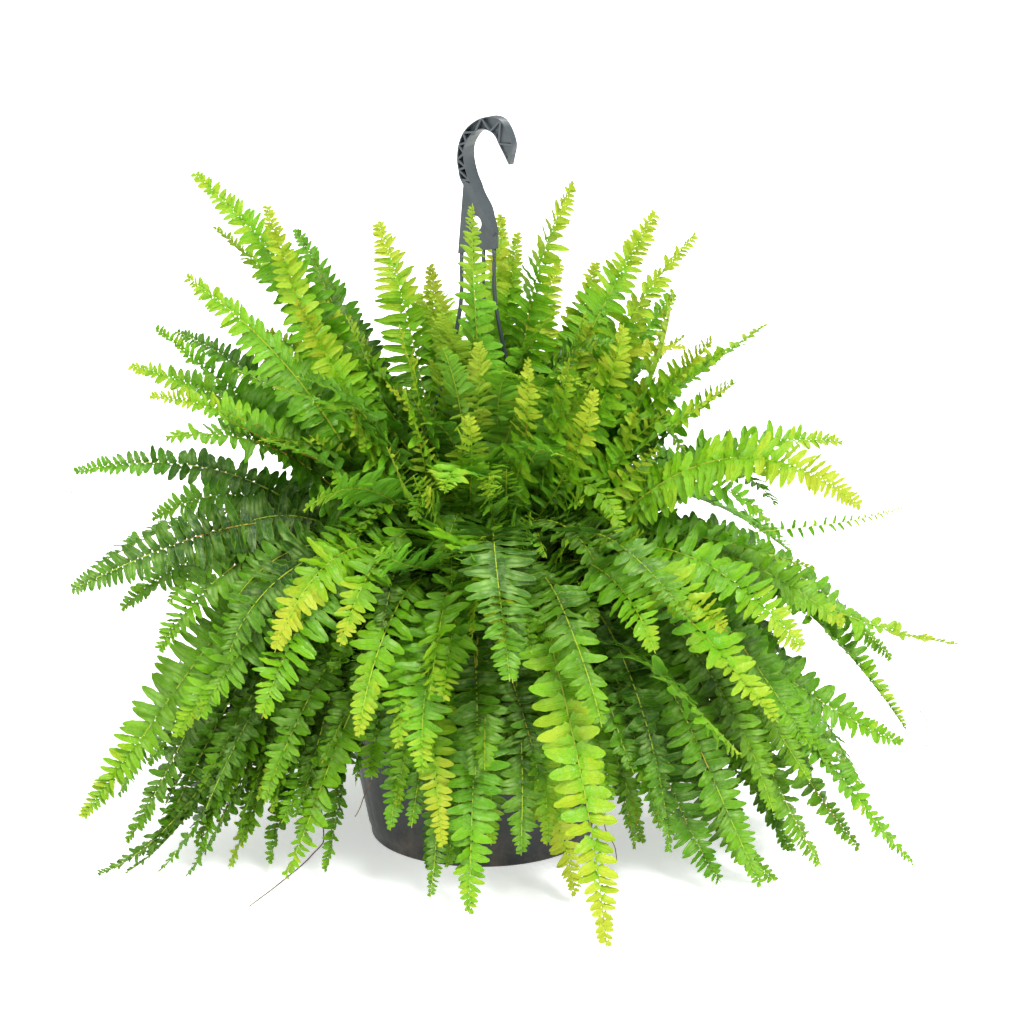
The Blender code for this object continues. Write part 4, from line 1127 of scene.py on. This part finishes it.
def make_strand(node, across, degrees, mat):
    """One leg of the hanger, hooked under the pot's lip."""
    turn = Matrix.Rotation(HOOK_TURN, 3, "Z")
    foot = (PLATE_EDGE[1][1] + (across - PLATE_EDGE[1][0]) * PLATE_SLOPE) * MM
    top = np.array(turn @ Vector((across * MM, 0.0, foot + 0.5 * MM)))
    out = direction(math.radians(degrees), 0.0)
    outside = LIP_RADIUS + STRAND_CLEAR
    route = [
        top,
        top + [0.0, 0.0, -0.05] + out * 2 * MM,
        top * 0.55 + out * 2.6 * CM + [0.0, 0.0, 0.37 - 0.55 * top[2]],
        out * 8.2 * CM + [0.0, 0.0, 0.265],
        out * (LIP_RADIUS - 4 * MM) + [0.0, 0.0, POT_HEIGHT + 12 * MM],
        out * outside + [0.0, 0.0, POT_HEIGHT - 2 * MM],
        out * outside + [0.0, 0.0, POT_HEIGHT - LIP_DEPTH - 0.5 * MM],
        out * (LIP_RADIUS - 2 * MM) + [0.0, 0.0, POT_HEIGHT - LIP_DEPTH - 2.2 * MM],
    ]
    return tube_object(f"{node}_leg", smooth_route(route, 8), STRAND_RADIUS, mat, sides=10)


# ------ small parts of the plant
# Wiry runners as routes in cm: up from the crown, over the lip and down, some on along the floor.
RUNNERS = (
    ((-5.5, -1.2, 17), (-11, -2.2, 21.5), (-14.5, -2.8, 16), (-14, -2.6, 6), (-13, -3, 0.5),
     (-14.6, -9, 0.12), (-18.1, -17.8, 0.12)),
    ((-3.5, -5, 17), (-7.5, -10.5, 21), (-9.4, -13, 14.5), (-8.8, -12.6, 9), (-10, -12.2, 5.5)),
    ((4, -5, 17), (8, -10, 21), (10.2, -12.4, 13.5), (9.8, -12, 6), (11, -12.8, 2)),
    ((5.5, 3, 17), (12, 6, 20.5), (14.6, 7.2, 12), (14, 7, 4), (17, 9, 0.3)),
    ((-4, 5, 17), (-9, 10.5, 21), (-11, 13, 12), (-10.5, 12.6, 5)),
    ((0.5, 6, 17), (1, 12.5, 20.5), (1.5, 15.8, 12), (1.2, 15.4, 3), (3, 19, 0.3)),
)
# Dry threads hanging from frond tips, as routes in cm.
THREADS = (
    ((-32.7, -3.5, 31.5), (-33.0, -3.9, 30.8), (-32.7, -4.1, 29.8), (-32.2, -4.0, 28.7)),
    ((36.6, 3.4, 9.2), (37.2, 3.0, 8.3), (36.9, 2.6, 7.2), (37.3, 2.2, 6.0)),
)
# Young fronds still rolled up: azimuth in degrees, distance out and height in cm over the crown, coil in mm
CROZIERS = (
    (-75, 3.0, 15, 7.0), (-110, 4.5, 11, 6.0), (-30, 5.0, 13, 6.5), (20, 4.0, 17, 7.0),
    (75, 3.5, 12, 6.0), (130, 4.5, 16, 7.0), (180, 4.0, 12, 6.5), (215, 2.5, 19, 7.5),
)
COIL_TURNS = 1.8
STUBS = 34


def make_crozier(name, azimuth, out, height, coil, mat):
    """A stalk that leans outwards and ends in a flat coil."""
    outward = direction(math.radians(azimuth), 0.0)
    rise = np.linspace(0.0, 1.0, 14)[:, None]
    stem = outward * (out + 2.0 * rise**2) * CM + UP * (ROOT_HEIGHT + height * CM * rise)
    turn = np.linspace(0.0, 2 * np.pi * COIL_TURNS, 44)[1:, None]
    radius = coil * MM * (1 - 0.82 * turn / turn[-1])
    start = stem[-1] + outward * coil * MM
    spiral = start + radius * (UP * np.sin(turn) - outward * np.cos(turn))
    taper = ([0.0, 0.5, 1.0], [1.0, 0.9, 0.45])
    return tube_object(name, np.concatenate([stem, spiral]), 1.4 * MM, mat, sides=10, taper=taper)


def make_stubs(mat):
    """Dry stubs of old stalks, standing on the crown between the fronds."""
    stubs = []
    for number in range(STUBS):
        azimuth = rng.uniform(0, 2 * np.pi)
        base = direction(azimuth, 0.0) * rng.uniform(1.5, 8.2) * CM + UP * ROOT_HEIGHT
        lean = direction(azimuth + rng.normal(0, 0.5), rng.uniform(0.7, 1.4)) * rng.uniform(1.2, 4.0) * CM
        route = [base - UP * 3 * MM, base + lean * 0.5, base + lean]
        stubs.append(tube_object(f"stub_{number:02d}", route, rng.uniform(0.8, 1.5) * MM, mat, sides=7))
    with bpy.context.temp_override(active_object=stubs[0], selected_editable_objects=stubs):
        bpy.ops.object.join()
    stubs[0].name = "dry_stalk_stubs"
    return stubs[0]


def add_small_parts():
    dry = grainy_material("runner_wiry", (45.0, 3.0, 0.6), WIRY, 0.7, 0.3, 0.0005, (700.0, 2.0, 0.5))
    for number, route in enumerate(RUNNERS, start=1):
        line = smooth_route(np.array(route) * CM, 10)
        line += 1.2 * MM * np.sin(np.arange(len(line)) * 0.9 + number)[:, None] * direction(number, 0.0)
        line[:, 2] = np.maximum(line[:, 2], 0.9 * MM)
        runner = tube_object(f"runner_{number}", line, 0.75 * MM, dry, taper=((0, 1), (1.0, 0.55)))
        add_piece(runner, "crown")
    for number, route in enumerate(THREADS, start=1):
        line = smooth_route(np.array(route) * CM, 6)
        add_piece(tube_object(f"dry_thread_{number}", line, 0.35 * MM, dry, sides=6), "leaf_middle")
    coiled = grainy_material("crozier_scaly", (330.0, 4.0, 0.7), SCALY, 0.6, 0.6, 0.0008)
    for number, row in enumerate(CROZIERS, start=1):
        add_piece(make_crozier(f"crozier_{number}", *row, coiled), "leaf_upper")
    add_piece(make_stubs(dry), "crown")


# ------ floor, light, camera
CAMERA_TARGET = Vector((0.025, 0.0, 0.2735))
CAMERA_ELEVATION = math.radians(15.5)
CAMERA_DISTANCE = 3.015
CAMERA_LENS = 130.2


def make_floor():
    bm = bmesh.new()
    bmesh.ops.create_circle(bm, cap_ends=True, segments=96, radius=20.0)
    floor = mesh_object("floor_pale", bm)
    floor.data.materials.append(floor_material())


def aim(obj, place, target):
    obj.location = place
    obj.rotation_euler = (Vector(target) - Vector(place)).to_track_quat("-Z", "Y").to_euler()


def make_camera():
    data = bpy.data.cameras.new("camera_main")
    data.lens = CAMERA_LENS
    data.sensor_width = 36.0
    data.clip_end = 100.0
    camera = link(bpy.data.objects.new("camera_main", data))
    offset = Vector((0.0, -math.cos(CAMERA_ELEVATION), math.sin(CAMERA_ELEVATION)))
    aim(camera, CAMERA_TARGET + offset * CAMERA_DISTANCE, CAMERA_TARGET)
    bpy.context.scene.camera = camera


def sun(name, strength, spread, azimuth, elevation):
    data = bpy.data.lights.new(name, "SUN")
    data.energy = strength
    data.angle = math.radians(spread)
    obj = link(bpy.data.objects.new(name, data))
    aim(obj, Vector(direction(math.radians(azimuth), math.radians(elevation))) * 4, (0, 0, 0))


def make_light():
    world = bpy.data.worlds.new("studio")
    bpy.context.scene.world = world
    world.use_nodes = True
    background = world.node_tree.nodes["Background"]
    background.inputs["Color"].default_value = (1.0, 1.0, 1.0, 1.0)
    background.inputs["Strength"].default_value = 0.62
    sun("key_front_right", 4.0, 22, -62, 52)
    sun("fill_front_left", 1.0, 40, -130, 30)
    sun("fill_low_front", 0.4, 50, -88, 12)
    sun("glow_behind", 1.8, 25, 70, 58)
    bpy.context.scene.view_settings.view_transform = "Standard"


# ------ assembly
def add_piece(piece, slot, *nodes):
    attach(piece, "root")
    if nodes:
        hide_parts(*nodes)


LEAF_SLOTS = {
    "skirt": "leaf_lower",
    "middle": "leaf_middle",
    "upper": "leaf_upper",
    "young": "leaf_upper",
    "inner": "leaf_upper",
}


def add_fronds():
    mat = leaf_material()
    seed = 100
    for tier, rows in FRONDS.items():
        for number, row in enumerate(rows, start=1):
            seed += 1
            node = f"frond_{tier}_{number:02d}"
            piece = make_frond(f"{node}_leafy", tier, RINGS[tier], (*row[:6], 0, *row[6:]), mat, FINE, seed)
            add_piece(piece, LEAF_SLOTS[tier], node)
    for number, (tier, *row) in enumerate(MORE_FRONDS, start=1):
        seed += 1
        piece = make_frond(f"frond_more_{number:02d}", tier, RINGS[tier], row, mat, FINE, seed)
        add_piece(piece, LEAF_SLOTS[tier])
    number = 0
    for tier, count, age, spread, radii, heights, launches, droops, arches, faces, pinnae in FILL:
        for place in range(count):
            number += 1
            seed += 1
            start, end = np.radians(spread)
            azimuth = start + (end - start) * (place + rng.uniform(0.2, 0.8)) / count
            radius = rng.uniform(*radii)
            row = (
                radius * math.cos(azimuth),
                radius * math.sin(azimuth),
                rng.uniform(*heights),
                rng.uniform(*launches),
                rng.uniform(*droops),
                rng.uniform(*arches),
                rng.uniform(-30, 30),
                rng.uniform(*faces),
                rng.uniform(*pinnae),
                rng.uniform(*(YOUNG_SPACING if tier == "young" else FILL_SPACING)),
                age + rng.normal(0, 0.14),
            )
            ring = RINGS[tier] * rng.uniform(0.5, 1.0)
            piece = make_frond(f"frond_fill_{tier}_{number:03d}", tier, ring, row, mat, COARSE, seed)
            add_piece(piece, LEAF_SLOTS[tier])


def main():
    black = plastic_material("pot_black", (0.010, 0.012, 0.013), 0.5, 0.42)
    grey = plastic_material("hanger_grey", (0.040, 0.050, 0.055), 0.0, 0.38)
    add_piece(make_pot(black), "pot_plastic", "pot")
    soil = grainy_material("potting_mix", (260.0, 6.0, 0.7), SOIL, 0.95, 0.9, 0.003)
    add_piece(make_soil(soil), "potting_mix", "potting_mix")
    scales = grainy_material("crown_scales", (180.0, 5.0, 0.65), CROWN, 0.85, 0.8, 0.0015)
    add_piece(make_crown(scales), "crown", "crown")
    add_piece(make_hook(grey), "hanger_plastic", "hanger_hook")
    for node, across, degrees in STRANDS:
        add_piece(make_strand(node, across, degrees, grey), "hanger_plastic", node)
    add_fronds()
    add_small_parts()
    make_floor()
    make_light()
    make_camera()


main()
